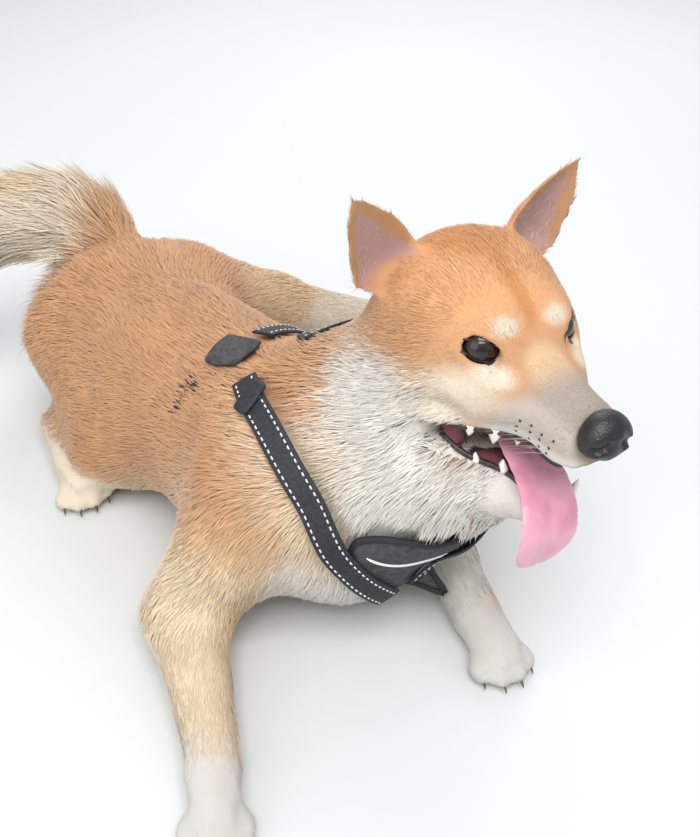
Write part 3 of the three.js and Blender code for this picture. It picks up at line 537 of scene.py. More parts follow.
# the inner sides of the cheeks, which face the middle of the mouth
def mouthWall(points, normals, margin=4.5, least=0.15):
    y = toHead(points)[:, 1]
    inward = -(normals @ np.array(headTurn))[:, 1] * np.sign(y)
    return insideMouth(points, margin) & (inward > least)


# the cup of an ear: its corners, out and up in the head's frame, and its rim as a share
earMarks = {"inner": (33, 44), "outer": (78, 14), "tip": (88, 86), "rim": 0.07}


def inEarCup(points, normals, foot=0.05, fade=0.08, facing=0.1, back=-110, front=-48):
    x, y, z = toHead(points).T
    ahead = normals @ np.array(headTurn) @ np.array((1, 0, 0))
    inner, outer, tip = (np.array(earMarks[k], float) for k in ("inner", "outer", "tip"))
    base = outer - inner
    rise = tip - inner
    size = base[0] * rise[1] - base[1] * rise[0]
    dy, dz = np.abs(y) - inner[0], z - inner[1]
    toTip = (base[0] * dz - base[1] * dy) / size
    toOuter = (dy * rise[1] - dz * rise[0]) / size
    rim = earMarks["rim"]
    within = np.minimum(toTip + foot, toOuter - rim)
    within = np.minimum(within, 1 - rim - toTip - toOuter)
    inside = (ahead > facing) & (x < front) & (x > back)
    return np.clip(within / fade, 0, 1) * inside


def markings(points, normals):
    colours = patched(points, tan, colourPatches)
    cup = inEarCup(points, normals)[:, None]
    colours = colours * (1 - cup) + np.array(pinkWhite) * cup
    inMouth = insideMouth(points, mouth["pink"]) | mouthWall(points, normals)
    # inside the mouth and on the inner cheek walls: pink darkened with painted shade
    colours[inMouth] = shadedMouthPink
    rim = insideMouth(points, mouth["dark"]) & ~inMouth
    colours[rim] = darkLip
    return colours


# the ends of the paws and the way each points, in degrees
pawSpots = [(246, -196, 16), (262, 38, 16), (-98, -120, 16), (-80, 290, 16)]
pawWays = [-30.1, -16.7, -14.3, 23.0]
clawSizes = {
    "length": 6.5, "width": 1.4, "height": 1.8, "drop": 4.5, "fan": 6, "apart": 11, "inner": 21.5,
    "outer": 15.5, "z": 8, "taper": ((0, 1.0), (0.4, 0.85), (0.8, 0.5), (1.0, 0.15)),
}
octagon = np.arange(8) * 0.785


def makeClaws():
    shapes = []
    for spot, way in zip(pawSpots, pawWays):
        for n in (-1.5, -0.5, 0.5, 1.5):
            turn = math.radians(way + n * clawSizes["fan"])
            ahead = Vector((math.cos(turn), math.sin(turn), 0))
            side = Vector((-ahead.y, ahead.x, 0))
            reach = clawSizes["inner"] if abs(n) < 1 else clawSizes["outer"]
            base = Vector(spot) + ahead * reach + side * n * clawSizes["apart"]
            base.z = clawSizes["z"]
            rings = []
            for t, wide in clawSizes["taper"]:
                at = base + ahead * clawSizes["length"] * t - Vector((0, 0, clawSizes["drop"] * t * t))
                across = side * clawSizes["width"] * wide
                tall = Vector((0, 0, clawSizes["height"] * wide))
                rings.append([(at + across * math.cos(a) + tall * math.sin(a)) * mm for a in octagon])
            shapes.append(rings)
    horn = plain("claw_horn", (0.05, 0.04, 0.035), 0.35)
    mottled(horn, (0.03, 0.025, 0.02), (0.16, 0.13, 0.11), 90)
    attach(newMesh("claws", *meshOfRings(shapes), horn), root)


# smooths the body more than the head and the toes
def softenBody(skin, centre=(10, 0, -20), radii=(95, 100, 90), toeReach=44):
    places, _ = arrays(skin)
    body = np.linalg.norm((toHead(places) - centre) / radii, axis=1) > 1
    for toes in pawSpots:
        body &= np.linalg.norm(places / mm - toes, axis=1) > toeReach
    places[body] = copySmoothed(skin, skinSizes["smooth"]["body"])[body]
    placeAll(skin, places)


# presses the cheeks in where the mouth cuts into them
def carveMouth(skin, side=38):
    places, _ = arrays(skin)
    local = toHead(places)
    notch = insideMouth(places, 0) & (np.abs(local[:, 1]) > side)
    local[notch, 1] = np.sign(local[notch, 1]) * side
    places[notch] = (local[notch] @ np.array(headTurn).T + np.array(headPlace)) * mm
    placeAll(skin, places)


# moves the skin in from the coat's surface, less where the body is thin
def shrinkSkin(skin, coat, least=0.8, more=7.5, start=4, span=24):
    places, normals = arrays(skin)
    depth = patched(places, skinSizes["baseDepth"], depthPatches)
    close = nearMouth(places)
    behind = np.clip((start - toHead(places)[:, 0]) / span, 0, 1)
    depth = depth * (1 - close) + (least + more * behind) * close
    depth = np.minimum(depth, thickness(coat, places, normals) * skinSizes["deepest"] / mm)
    places = places - normals * (depth * mm)[:, None]
    places[:, 2] = np.maximum(places[:, 2], skinSizes["floorGap"])
    placeAll(skin, places)


def makeSkin():
    skin = copiesOf(fleshNodes, "skin", skinSizes["overlap"])
    applied(skin, "REMESH", mode="VOXEL", voxel_size=skinSizes["voxel"])
    smoothMesh(skin, skinSizes["smooth"]["first"])
    softenBody(skin)
    carveMouth(skin)
    coat = treeOf(skin)
    shrinkSkin(skin, coat)
    smoothMesh(skin, skinSizes["smooth"]["last"])
    shadeSmooth(skin)
    # the skin's markings, darkened with painted shade under the coat
    colourAll(skin, markings(*arrays(skin)) * skinSizes["shade"])
    skin.data.materials.append(bumped(painted("skin_coat", 0.85), 900, 0.4, 0.0006))
    bpy.ops.object.mode_set(mode="EDIT")
    bpy.ops.mesh.select_all(action="SELECT")
    angle = math.radians(skinSizes["islandAngle"])
    bpy.ops.uv.smart_project(angle_limit=angle, island_margin=skinSizes["islandGap"])
    bpy.ops.object.mode_set(mode="OBJECT")
    skin.data.uv_layers[0].name = "OFBake"
    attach(skin, root)
    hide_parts(*fleshNodes)
    return skin, coat


def thickness(tree, places, normals, start=0.0004, reach=0.05, free=1.0):
    found = np.full(len(places), free)
    for k, (place, normal) in enumerate(zip(places, normals)):
        way = Vector(-normal)
        hit = tree.ray_cast(Vector(place) + way * start, way, reach)
        if hit[0] is not None:
            found[k] = hit[3]
    return found


def treeOf(piece):
    made = bmesh.new()
    made.from_mesh(piece.data)
    tree = BVHTree.FromBMesh(made)
    made.free()
    return tree


def copySmoothed(piece, rounds):
    twin = piece.copy()
    twin.data = piece.data.copy()
    bpy.context.scene.collection.objects.link(twin)
    smoothMesh(twin, rounds)
    places, _ = arrays(twin)
    bpy.data.objects.remove(twin)
    return places


# the eyes, in millimetres and degrees
eyeSizes = {"x": -5.5, "y": 29, "z": -1, "radius": 11.5, "splay": 32, "rise": 4, "slant": 12}
pupilBlack = (0.003, 0.002, 0.002)
eyeBands = [(16, 4, (0.018, 0.008, 0.004)), (38, 8, (0.006, 0.004, 0.004))]  # start, fade, colour
lids = {
    "inner": 13.2, "outer": 12.6, "above": 6.3, "below": 5.6, "points": 40,
    "onEye": ((1.0, 0.15), (1.06, 1.3)),  # size of the ring, lift off the eyeball
    "onSkin": ((1.28, 0.5), (1.75, -0.9)),  # size of the ring, lift off the skin
    # shade darkens the coat colour on the lids: painted shade round the eye
    "darkSize": (13.2, 7.4), "darkEnd": (1.22, 0.3), "shade": 0.85, "thickness": 0.0006,
}


def eyeFrame(s):
    splay = math.radians(eyeSizes["splay"])
    rise = math.radians(eyeSizes["rise"])
    level = math.cos(rise)
    look = Vector((math.cos(splay) * level, s * math.sin(splay) * level, math.sin(rise)))
    left = Vector((0, 0, 1)).cross(look).normalized()
    left.rotate(Matrix.Rotation(s * math.radians(eyeSizes["slant"]), 3, look))
    up = look.cross(left)
    centre = Vector((eyeSizes["x"], s * eyeSizes["y"], eyeSizes["z"]))
    return centre, look, left, up


def almond(s, scale, narrowing=0.35, power=2.2, droop=1.2):
    ring = []
    for k in range(lids["points"]):
        a = 2 * math.pi * k / lids["points"]
        outward = math.cos(a)
        high = math.sin(a)
        across = (lids["outer"] if outward > 0 else lids["inner"]) * outward * s
        tall = lids["above"] if high > 0 else lids["below"]
        pinch = 1 - narrowing * abs(outward) ** power
        rise = tall * high * pinch - droop * max(0, -outward)
        ring.append((across * scale, rise * scale))
    return ring


def makeEye(s, name, surface):
    centre, look, left, up = eyeFrame(s)
    bpy.ops.mesh.primitive_uv_sphere_add(segments=48, ring_count=32, radius=eyeSizes["radius"] * mm)
    eye = bpy.context.object
    eye.name = name
    spot = fromHead(*centre)
    eye.data.transform((headTurn @ Matrix((left, up, look)).transposed()).to_4x4())
    eye.data.transform(Matrix.Translation(spot))
    bpy.ops.object.shade_smooth()
    places, _ = arrays(eye)
    ahead = ((places - np.array(spot)) @ np.array(headTurn @ look)) / (eyeSizes["radius"] * mm)
    angle = np.degrees(np.arccos(np.clip(ahead, -1, 1)))
    colour = np.array(pupilBlack)
    for start, fade, band in eyeBands:
        share = np.clip((angle - start) / fade, 0, 1)[:, None]
        colour = (1 - share) * colour + share * np.array(band)
    colourAll(eye, colour)
    eye.data.materials.append(painted("eye_wet", 0.1, Coat_Weight=0.25, Coat_Roughness=0.03))
    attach(eye, root)
    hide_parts(name)
    makeLids(s, name.replace("eye", "lids"), surface)


def makeLids(s, name, surface, castFrom=40, castReach=0.06, missed=6.0, over=3, flattest=0.985):
    centre, look, left, up = eyeFrame(s)
    rings = []
    for scale, lift in lids["onEye"]:
        ring = []
        radius = eyeSizes["radius"] + lift
        for a, b in almond(s, scale):
            far = math.hypot(a, b)
            flat = min(far, radius * flattest)
            shrink = flat / max(far, 1e-6)
            deep = math.sqrt(radius**2 - flat**2)
            ring.append(centre + left * a * shrink + up * b * shrink + look * deep)
        rings.append(ring)
    for scale, lift in lids["onSkin"]:
        ring = []
        for a, b in almond(s, scale):
            start = centre + left * a + up * b + look * castFrom
            hit = surface.ray_cast(fromHead(*start), headTurn @ -look, castReach)
            deep = castFrom - hit[3] / mm if hit[0] is not None else missed
            deep = max(min(deep, eyeSizes["radius"] + over), 0.0) + lift
            ring.append(centre + left * a + up * b + look * deep)
        rings.append(ring)
    faces = bandFaces(0, len(rings), lids["points"])
    piece = newMesh(name, [fromHead(*p) for ring in rings for p in ring], faces)
    applied(piece, "SUBSURF", levels=2, render_levels=2)
    places, normals = arrays(piece)
    local = toHead(places) - np.array(centre)
    wide, tall = lids["darkSize"]
    start, fade = lids["darkEnd"]
    reach = np.hypot(local @ np.array(left) / wide, local @ np.array(up) / tall)
    share = np.clip((reach - start) / fade, 0, 1)[:, None]
    # the coat's colour on the lids, darkened with painted shade round the eye
    coat = markings(places, normals) * lids["shade"]
    colourAll(piece, (1 - share) * np.array(darkLip) + share * coat)
    piece.data.materials.append(bumped(painted("lid_skin", 0.5), 700, 0.3, 0.0004))
    applied(piece, "SOLIDIFY", thickness=lids["thickness"], offset=-1)
    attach(piece, root)


# nose, tongue, teeth, lips
def makeNose(voxel=0.0011, rounds=5):
    nose = copiesOf(["nose"], "nose_leather")
    applied(nose, "REMESH", mode="VOXEL", voxel_size=voxel)
    smoothMesh(nose, rounds)
    shadeSmooth(nose)
    finish = plain("nose_leather", (0.02, 0.02, 0.02), 0.38)
    mottled(finish, (0.006, 0.0055, 0.006), (0.018, 0.016, 0.017), 160)
    nose.data.materials.append(bumped(finish, 900, 0.5, 0.0004, "ShaderNodeTexVoronoi"))
    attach(nose, root)
    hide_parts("nose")


tongueLook = {
    "colour": (0.7, 0.3, 0.4), "dark": (0.62, 0.25, 0.33), "light": (0.74, 0.35, 0.45), "under": 0.2,
    "reach": (0.006, 0.002, 0.0015), "smooth": 4,
}


def makeTongue():
    tongue = copiesOf(["tongue"], "tongue_soft")
    applied(tongue, "SUBSURF", levels=2, render_levels=2)
    smoothMesh(tongue, tongueLook["smooth"])
    shadeSmooth(tongue)
    finish = plain(
        "tongue_wet", tongueLook["colour"], 0.34, Coat_Weight=0.35, Coat_Roughness=0.2,
        Subsurface_Weight=tongueLook["under"], Subsurface_Radius=tongueLook["reach"],
    )
    mottled(finish, tongueLook["dark"], tongueLook["light"], 45)
    tongue.data.materials.append(bumped(finish, 1500, 0.35, 0.0003))
    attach(tongue, root)
    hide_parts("tongue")


toothSizes = {
    "cheek": [(34, 6, 3.2), (25, 7, 3.8), (13, 9.5, 5), (2, 6, 4)],  # place, height, radius
    "fang": {"root": (41, 14.5), "tip": (47, 17), "height": 14, "radius": 3.4, "jaw": 42},
    "inset": (7, 6),  # upper and lower
    "lowerBehind": 34,  # cheek teeth further forward than this have no lower one
    "lowerShare": (0.6, 0.8),  # of the upper one's height and radius
    "taper": ((0, 1.0), (0.3, 1.04), (0.6, 0.72), (0.85, 0.34), (1.0, 0.06)),
}


def cheekAt(surface, x, z, s, away=90, reach=0.1, missed=20):
    start = fromHead(x, s * away, z)
    hit = surface.ray_cast(start, headTurn @ Vector((0, -s, 0)), reach)
    return s * (away - hit[3] / mm) if hit[0] is not None else s * missed


def tooth(rootAt, tip, radius, hook=1.2, oval=0.75, around=12):
    base = Vector(rootAt)
    line = Vector(tip) - base
    side = line.cross(Vector((0, 1, 0.2))).normalized()
    other = line.normalized().cross(side)
    angles = [2 * math.pi * k / around for k in range(around)]
    rings = []
    for t, wide in toothSizes["taper"]:
        at = base + line * t - Vector((hook * t * t, 0, 0))
        long, flat = radius * wide, radius * wide * oval
        ring = [at + side * math.cos(a) * long + other * math.sin(a) * flat for a in angles]
        rings.append([fromHead(*p) for p in ring])
    return rings


def makeTeeth(surface, sunk=3, castOff=4):
    heightShare, radiusShare = toothSizes["lowerShare"]
    upperIn, lowerIn = toothSizes["inset"]
    shapes = []
    for s in (-1, 1):
        for x, height, radius in toothSizes["cheek"]:
            gum = upperLip(x)
            y = cheekAt(surface, x, gum + castOff, s) - s * upperIn
            shapes.append(tooth((x, y, gum + sunk), (x, y, gum - height), radius))
            if x < toothSizes["lowerBehind"]:
                low = lowerLip(x)
                y = cheekAt(surface, x, low - castOff, s) - s * lowerIn
                tip = (x + 1, y, low + height * heightShare)
                shapes.append(tooth((x, y, low - sunk), tip, radius * radiusShare))
    fang = toothSizes["fang"]
    low = lowerLip(fang["jaw"])
    shapes.append(tooth((*fang["root"], low - sunk), (*fang["tip"], low + fang["height"]), fang["radius"]))
    enamel = plain("enamel", (0.82, 0.78, 0.68), 0.22, Coat_Weight=0.3)
    mottled(enamel, (0.74, 0.68, 0.55), (0.86, 0.83, 0.76), 120)
    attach(newMesh("teeth", *meshOfRings(shapes), enamel), root)


def tubeAlong(name, points, radius, material, taper=True, around=10, ends=0.35):
    last = len(points) - 1
    angles = [2 * math.pi * j / around for j in range(around)]
    rings = []
    for k, p in enumerate(points):
        ahead = (points[min(k + 1, last)] - points[max(k - 1, 0)]).normalized()
        side = ahead.cross(Vector((0.1, 0.2, 1))).normalized()
        other = ahead.cross(side)
        wide = radius * (ends if taper and k in (0, last) else 1)
        rings.append([p + side * math.cos(a) * wide + other * math.sin(a) * wide for a in angles])
    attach(newMesh(name, *meshOfRings([rings]), material), root)


# the whiskers stand in rows and columns, in millimetres from the head's origin
whiskers = {
    "rows": 3, "columns": 4, "first": (62, -35), "apart": (9, 5.2), "slant": (2, 0.5),
    "scatter": (1, 0.8), "length": 36, "shortest": 0.5,
    "reach": (0.75, 0.55, 0.28),  # back, out and down, as shares of the length
    "radius": 0.26, "dot": ((1.0, -0.5), (0.9, 0.3), (0.3, 0.6)),
}


def makeWhiskers(surface):
    pale = plain("whisker_hair", (0.5, 0.47, 0.43), 0.4)
    dark = plain("whisker_dot", (0.03, 0.025, 0.025), 0.7)
    alongX, alongZ = whiskers["scatter"]
    back, out, down = whiskers["reach"]
    hairs, dots = [], []
    for s in (-1, 1):
        for i in range(whiskers["rows"]):
            for j in range(whiskers["columns"]):
                x = whiskers["first"][0] - whiskers["apart"][0] * j - whiskers["slant"][0] * i
                x += rng.uniform(-alongX, alongX)
                z = whiskers["first"][1] - whiskers["apart"][1] * i + whiskers["slant"][1] * j
                z += rng.uniform(-alongZ, alongZ)
                y = cheekAt(surface, x, z, s)
                long = whiskers["length"] * rng.uniform(whiskers["shortest"], 1.0)
                rings = []
                for t in (0, 0.2, 0.45, 0.7, 1.0):
                    at = Vector((x - long * back * t**1.3, y + s * long * out * t, z - long * down * t * t))
                    wide = whiskers["radius"] * (1 - 0.85 * t)
                    rings.append([
                        fromHead(at.x, at.y + wide * math.cos(a), at.z + wide * math.sin(a))
                        for a in (0, 2.1, 4.2)
                    ])
                hairs.append(rings)
                dots.append([
                    [fromHead(x + w * math.cos(a), y + s * h, z + w * math.sin(a)) for a in octagon]
                    for w, h in whiskers["dot"]
                ])
    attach(newMesh("whiskers", *meshOfRings(hairs), pale), root)
    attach(newMesh("whisker_dots", *meshOfRings(dots), dark), root)


def smoothed(points, rounds):
    for _ in range(rounds):
        between = zip(points, points[1:], points[2:])
        points = [points[0]] + [a * 0.25 + b * 0.5 + c * 0.25 for a, b, c in between] + [points[-1]]
    return points


lips = {
    "upper_lip": {"line": upperLip, "front": 66, "lift": 1.2},
    "lower_lip": {"line": lowerLip, "front": 38, "lift": -1.4},
}
lipSizes = {"back": -20, "steps": 25, "castOff": 2.5, "sunk": 1.4, "smooth": 4, "radius": 0.0021}


def makeLips(surface):
    finish = plain("lip_skin", darkLip, 0.4)
    bumped(mottled(finish, (0.012, 0.010, 0.010), (0.04, 0.03, 0.03), 220), 500, 0.5, 0.0005)
    back, steps = lipSizes["back"], lipSizes["steps"]
    for name, lip in lips.items():
        for s, hand in ((-1, "right"), (1, "left")):
            path = []
            for k in range(steps + 1):
                x = back + (lip["front"] - back) * k / steps
                z = lip["line"](x)
                y = cheekAt(surface, x, z + lipSizes["castOff"] * lip["lift"], s)
                path.append(fromHead(x, y - s * lipSizes["sunk"], z + lip["lift"]))
            tubeAlong(name + "_" + hand, smoothed(path, lipSizes["smooth"]), lipSizes["radius"], finish)


# harness, in millimetres
webbing = {
    "width": 20, "thickness": 2.4,
    "edge": 0.8,  # of the thickness, at the two edges
    "strips": 6, "bevel": 0.0005, "perSpan": 9, "smooth": {"middle": 3, "normals": 14},
}
stitches = {
    "apart": 5.2, "length": 3.1, "in": 3.4, "over": 0.15, "halfWidth": 0.55, "root": 0.3,
    "crown": (-0.2, 0.35, -0.2), "start": 3, "stop": 4,
}
plateSizes = {
    "low": 42, "high": 116, "halfWidth": 55, "middle": -6, "front": 205, "thickness": 6,
    "grid": (26, 34),
    "foot": 0.5,  # width at the lower point, as a share
    "shoulders": 0.12, "bow": 0.12, "lift": 0.4, "smooth": 5, "edge": (6, 0.25), "crown": 0.92,
    "cover": 0.010,
}
overPlate = 7.2
onFur = 0.2
strapRoutes = {  # points, each with its lift off the coat
    "strap_right": [
        (192, -12, 52, overPlate), (188, -28, 74, overPlate), (182, -40, 94, overPlate),
        (175, -49, 112, overPlate), (163, -54, 137, 2), (147, -58, 156, 0.5), (125, -57, 171, onFur),
        (105, -54, 179, onFur), (83, -49, 183, onFur), (66, -42, 184, onFur),
    ],
    "strap_left": [
        (195, 12, 56, overPlate), (205, 22, 76, overPlate), (210, 36, 98, overPlate), (204, 52, 118, -1),
        (188, 75, 138, -3), (160, 90, 155, -2), (125, 80, 172, -1), (92, 45, 188, 0), (68, 8, 190, 0),
    ],
    "girth_right": [(14, -54, 164, -5), (8, -66, 150, -5.5), (2, -76, 132, -6)],
    "girth_left": [
        (22, 2, 180, onFur), (14, 32, 170, onFur), (8, 58, 145, onFur), (6, 74, 110, onFur),
        (6, 78, 70, onFur), (6, 70, 34, onFur), (6, 56, 16, onFur),
    ],
}
pads = {
    "back_pad": {"at": (22, -27, 186), "way": (1, 0.3, 0), "size": (40, 34), "lift": 0.2, "thick": 4},
    "adjuster": {"at": (86, -50, 184), "way": (1, 0.2, -0.1), "size": (15, 27), "lift": 3.2, "thick": 2.6},
}


def onCoat(coat, point, lift):
    hit = coat.find_nearest(point)
    return hit[0] + hit[1] * lift * mm, hit[1]


def routePoints(route):
    points = [Vector(p[:3]) * mm for p in route]
    lifts = [p[3] for p in route]
    last = len(points) - 1
    out = []
    for k in range(last):
        a, b, c, d = (points[min(max(i, 0), last)] for i in range(k - 1, k + 3))
        for j in range(webbing["perSpan"]):
            t = j / webbing["perSpan"]
            curve = (2 * a - 5 * b + 4 * c - d) * t**2 + (3 * b - a - 3 * c + d) * t**3
            out.append((0.5 * ((2 * b) + (c - a) * t + curve), lifts[k] * (1 - t) + lifts[k + 1] * t))
    out.append((points[-1], lifts[-1]))
    return out


harnessSpots = {"straps": [], "plate": []}  # where the harness covers the coat
shownShare = {"girth_right": 0, "strap_left": 0.36}  # the rest lies under the hair


def makeStrap(name, route, coat, cloth, thread):
    spots = routePoints(route)
    middle = smoothed([onCoat(coat, p, lift)[0] for p, lift in spots], webbing["smooth"]["middle"])
    normals = smoothed([onCoat(coat, p, 0)[1] for p, _ in spots], webbing["smooth"]["normals"])
    strips = webbing["strips"]
    rows = []
    for k, at in enumerate(middle):
        ahead = (middle[min(k + 1, len(middle) - 1)] - middle[max(k - 1, 0)]).normalized()
        across = ahead.cross(normals[k]).normalized()
        normals[k] = across.cross(ahead)
        rows.append([at + across * u * webbing["width"] * mm for u in np.linspace(-0.5, 0.5, strips + 1)])
    places = []
    for row, n in zip(rows, normals):
        for j, p in enumerate(row):
            share = webbing["edge"] if j in (0, strips) else 1
            places.append(p + n * webbing["thickness"] * mm * share)
    places += [p for row in rows for p in row]
    piece = newMesh(name + "_webbing", places, shellFaces(len(rows) - 1, strips)[0], cloth)
    applied(piece, "BEVEL", width=webbing["bevel"], segments=2, limit_method="ANGLE")
    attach(piece, root)
    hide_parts(name)
    shown = shownShare.get(name, 1)
    centres = [row[strips // 2] for row in rows]
    harnessSpots["straps"].append(np.array(centres[: int(len(rows) * shown)]).reshape(-1, 3))
    if shown > 0:
        makeStitches(name, rows, normals, thread)


# the point at a distance along a line of points, and the normal there
def alongLine(line, normals, run, distance):
    k = min(max(i for i in range(len(run)) if run[i] <= distance), len(line) - 2)
    t = (distance - run[k]) / max(run[k + 1] - run[k], 1e-6)
    return line[k].lerp(line[k + 1], t), normals[k]


def makeStitches(name, rows, normals, thread):
    share = 1 - stitches["in"] / (webbing["width"] / 2)
    over = (webbing["thickness"] + stitches["over"]) * mm
    centre = webbing["strips"] // 2
    shapes = []
    for edge in (0, -1):
        line = [row[centre].lerp(row[edge], share) + n * over for row, n in zip(rows, normals)]
        run = [0.0]
        for a, b in zip(line, line[1:]):
            run.append(run[-1] + (b - a).length)
        at = stitches["start"] * mm
        while at < run[-1] - stitches["stop"] * mm:
            p, n = alongLine(line, normals, run, at)
            q, _ = alongLine(line, normals, run, at + stitches["length"] * mm)
            side = (q - p).cross(n).normalized() * stitches["halfWidth"] * mm
            low = n * stitches["root"] * mm
            rings = []
            for end, lift in zip((p, p.lerp(q, 0.5), q), stitches["crown"]):
                high = n * lift * mm
                rings.append([end - side - low, end + side - low, end + side + high, end - side + high])
            shapes.append(rings)
            at += stitches["apart"] * mm
    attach(newMesh(name + "_stitches", *meshOfRings(shapes), thread), root)


binds = {"binding": 0.0026, "piping": 0.0013, "bindingAt": 0.4}
pipingRuns = {  # across and up the plate, for t from 0 to 1, and the number of points
    "piping_top": (lambda t: (-0.72 + 1.3 * t, 0.80 - 0.14 * math.sin(math.pi * t)), 14),
    "piping_right": (lambda t: (-0.78 + 0.12 * t, 0.62 - 0.5 * t), 10),
    "piping_left": (lambda t: (0.80 - 0.30 * t**1.5, 0.80 - 0.62 * t), 12),
}


def makePlate(coat, padding, binding, piping):
    sizes = plateSizes
    rows, columns = sizes["grid"]
    steep, least = sizes["edge"]
    feet, outward, edges = [], [], []
    for i in range(rows + 1):
        v = i / rows
        half = sizes["halfWidth"] * (sizes["foot"] + (1 - sizes["foot"]) * math.sin(v * math.pi / 2))
        half *= 1 - sizes["shoulders"] * v**4
        row = []
        for j in range(columns + 1):
            u = -1 + 2 * j / columns
            up = v + sizes["bow"] * (1 - u * u) * (v - 0.5)
            z = sizes["low"] + (sizes["high"] - sizes["low"]) * up
            spot = Vector((sizes["front"], sizes["middle"] + u * half, z)) * mm
            foot, n = onCoat(coat, spot, sizes["lift"])
            row.append(foot)
            outward.append(n)
            edges.append(min(1.0, steep * min(1 - abs(u), v, 1 - v) + least))
        feet.append(row)
    for _ in range(sizes["smooth"]):
        feet = [smoothed(row, 1) for row in feet]
        feet = [list(c) for c in zip(*[smoothed(list(c), 1) for c in zip(*feet)])]
    feet = [p for row in feet for p in row]
    thick = sizes["thickness"] * mm * sizes["crown"]
    top = [p + n * thick * edge for p, n, edge in zip(feet, outward, edges)]
    faces, rim = shellFaces(rows, columns)
    piece = newMesh("chest_padding", top + feet, faces, padding)
    applied(piece, "SUBSURF", levels=1, render_levels=1)
    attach(piece, root)
    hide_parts("chest_plate")
    bound = [top[a].lerp(feet[a], binds["bindingAt"]) for a in rim]
    tubeAlong("plate_binding", smoothed(bound + bound[:2], 2), binds["binding"], binding, taper=False)
    for name, (run, count) in pipingRuns.items():
        line = []
        for u, v in (run(t) for t in np.linspace(0, 1, count)):
            line.append(top[round(v * rows) * (columns + 1) + round((u + 1) / 2 * columns)])
        tubeAlong(name, smoothed(line, 4), binds["piping"], piping)
    harnessSpots["plate"] = np.array(top)


def makeHarness(coat):
    cloth = plain("webbing_black", (0.012, 0.014, 0.02), 0.62)
    bumped(mottled(cloth, (0.008, 0.009, 0.013), (0.022, 0.024, 0.034), 420), 1400, 0.6, 0.0006)
    padding = plain("padding_grey", (0.05, 0.05, 0.055), 0.8)
    mottled(padding, (0.035, 0.034, 0.037), (0.075, 0.073, 0.078), 240)
    bumped(padding, 1100, 0.7, 0.0007, "ShaderNodeTexVoronoi")
    thread = bumped(plain("thread_pale", (0.72, 0.72, 0.70), 0.6), 2500, 0.4, 0.0003)
    piping = bumped(plain("piping_pale", (0.78, 0.78, 0.76), 0.5), 1800, 0.3, 0.0003)
    binding = bumped(plain("binding_black", (0.014, 0.014, 0.017), 0.7), 1300, 0.5, 0.0005)
    makePlate(coat, padding, binding, piping)
    for name, route in strapRoutes.items():
        makeStrap(name, route, coat, cloth, thread)
    makePad(coat, padding, "back_pad")
    makePad(coat, cloth, "adjuster")


def makePad(coat, material, name, steps=12, corners=0.12, steep=3, least=0.45):
    pad = pads[name]
    middle, n = onCoat(coat, Vector(pad["at"]) * mm, 0)
    across = n.cross(Vector(pad["way"])).normalized()
    forward = across.cross(n)
    length, width = (side * 0.5 * mm for side in pad["size"])
    top, feet = [], []
    for i in range(steps + 1):
        for j in range(steps + 1):
            u, v = -1 + 2 * i / steps, -1 + 2 * j / steps
            pull = 1 - corners * (u * u * v * v)
            spot = middle + forward * u * length * pull + across * v * width * pull
            foot, m = onCoat(coat, spot, pad["lift"])
            edge = min(1, steep * (1 - max(abs(u), abs(v))) + least)
            top.append(foot + m * pad["thick"] * mm * edge)
            feet.append(foot)
    piece = newMesh(name + "_cloth", top + feet, shellFaces(steps, steps)[0], material)
    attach(piece, root)
    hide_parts(name)
    harnessSpots["straps"].append(np.array(top[steps // 2 :: steps + 1]))


# the coat, as tufts
coatSizes = {
    "tufts": 192000,
    "faces": 190000,  # triangles in one piece, at most
    "width": 0.062,  # as a share of the length
    "widths": (0.00045, 0.00105),  # narrowest and widest, in metres
    "short": 7.5,  # shorter hair than this gets the simple tuft
    "sunk": 0.7, "patch": 0.0015,
    "bend": 0.45,  # where a tuft bends, as a share of its length
    "flatter": 0.25,  # lift of the outer half, as a share
    "swing": (8, 13),  # degrees off the lie, at random and in waves
    "lipLoss": 0.75, "boxGap": 0.0003, "brightest": 0.92,
}
tuftProfile = ((-0.5, 0), (0.5, 0), (0, 0.42))  # across and up, as shares of the width
tuftFaces = {
    "long": [(0, 1, 4, 3), (1, 2, 5, 4), (2, 0, 3, 5), (3, 4, 6), (4, 5, 6), (5, 3, 6), (2, 1, 0)],
    "short": [(0, 1, 3), (1, 2, 3), (2, 0, 3), (2, 1, 0)],
}
# tuft brightness along its length: the darker root is painted shade from the hair over it, and the tip is a
# little lighter
tuftShadeTones = (0.88, 1.0, 1.06)  # at the root, at the bend and at the tip


# random spots over the skin: their place, normal and place in the unwrap
def skinSamples(skin):
    mesh = skin.data
    mesh.calc_loop_triangles()
    count = len(mesh.loop_triangles)
    verts, loops = np.zeros(count * 3, int), np.zeros(count * 3, int)
    mesh.loop_triangles.foreach_get("vertices", verts)
    mesh.loop_triangles.foreach_get("loops", loops)
    verts, loops = verts.reshape(-1, 3), loops.reshape(-1, 3)
    places, normals = arrays(skin)
    uv = np.zeros(len(mesh.loops) * 2)
    mesh.uv_layers["OFBake"].data.foreach_get("uv", uv)
    uv = uv.reshape(-1, 2)
    a, b, c = (places[verts[:, k]] for k in range(3))
    area = np.linalg.norm(np.cross(b - a, c - a), axis=1) / 2
    weight = area * patched((a + b + c) / 3, 1.0, densityPatches)
    n = coatSizes["tufts"]
    pick = rng.choice(count, n, p=weight / weight.sum())
    r1, r2 = np.sqrt(rng.random(n)), rng.random(n)
    shares = np.stack([1 - r1, r1 * (1 - r2), r1 * r2], 1)[:, :, None]
    spots = (places[verts[pick]] * shares).sum(1)
    up = (normals[verts[pick]] * shares).sum(1)
    up /= np.linalg.norm(up, axis=1)[:, None]
    roots = (uv[loops[pick]] * shares).sum(1)
    keep = ~hidden(spots, up)
    return spots[keep], up[keep], roots[keep]


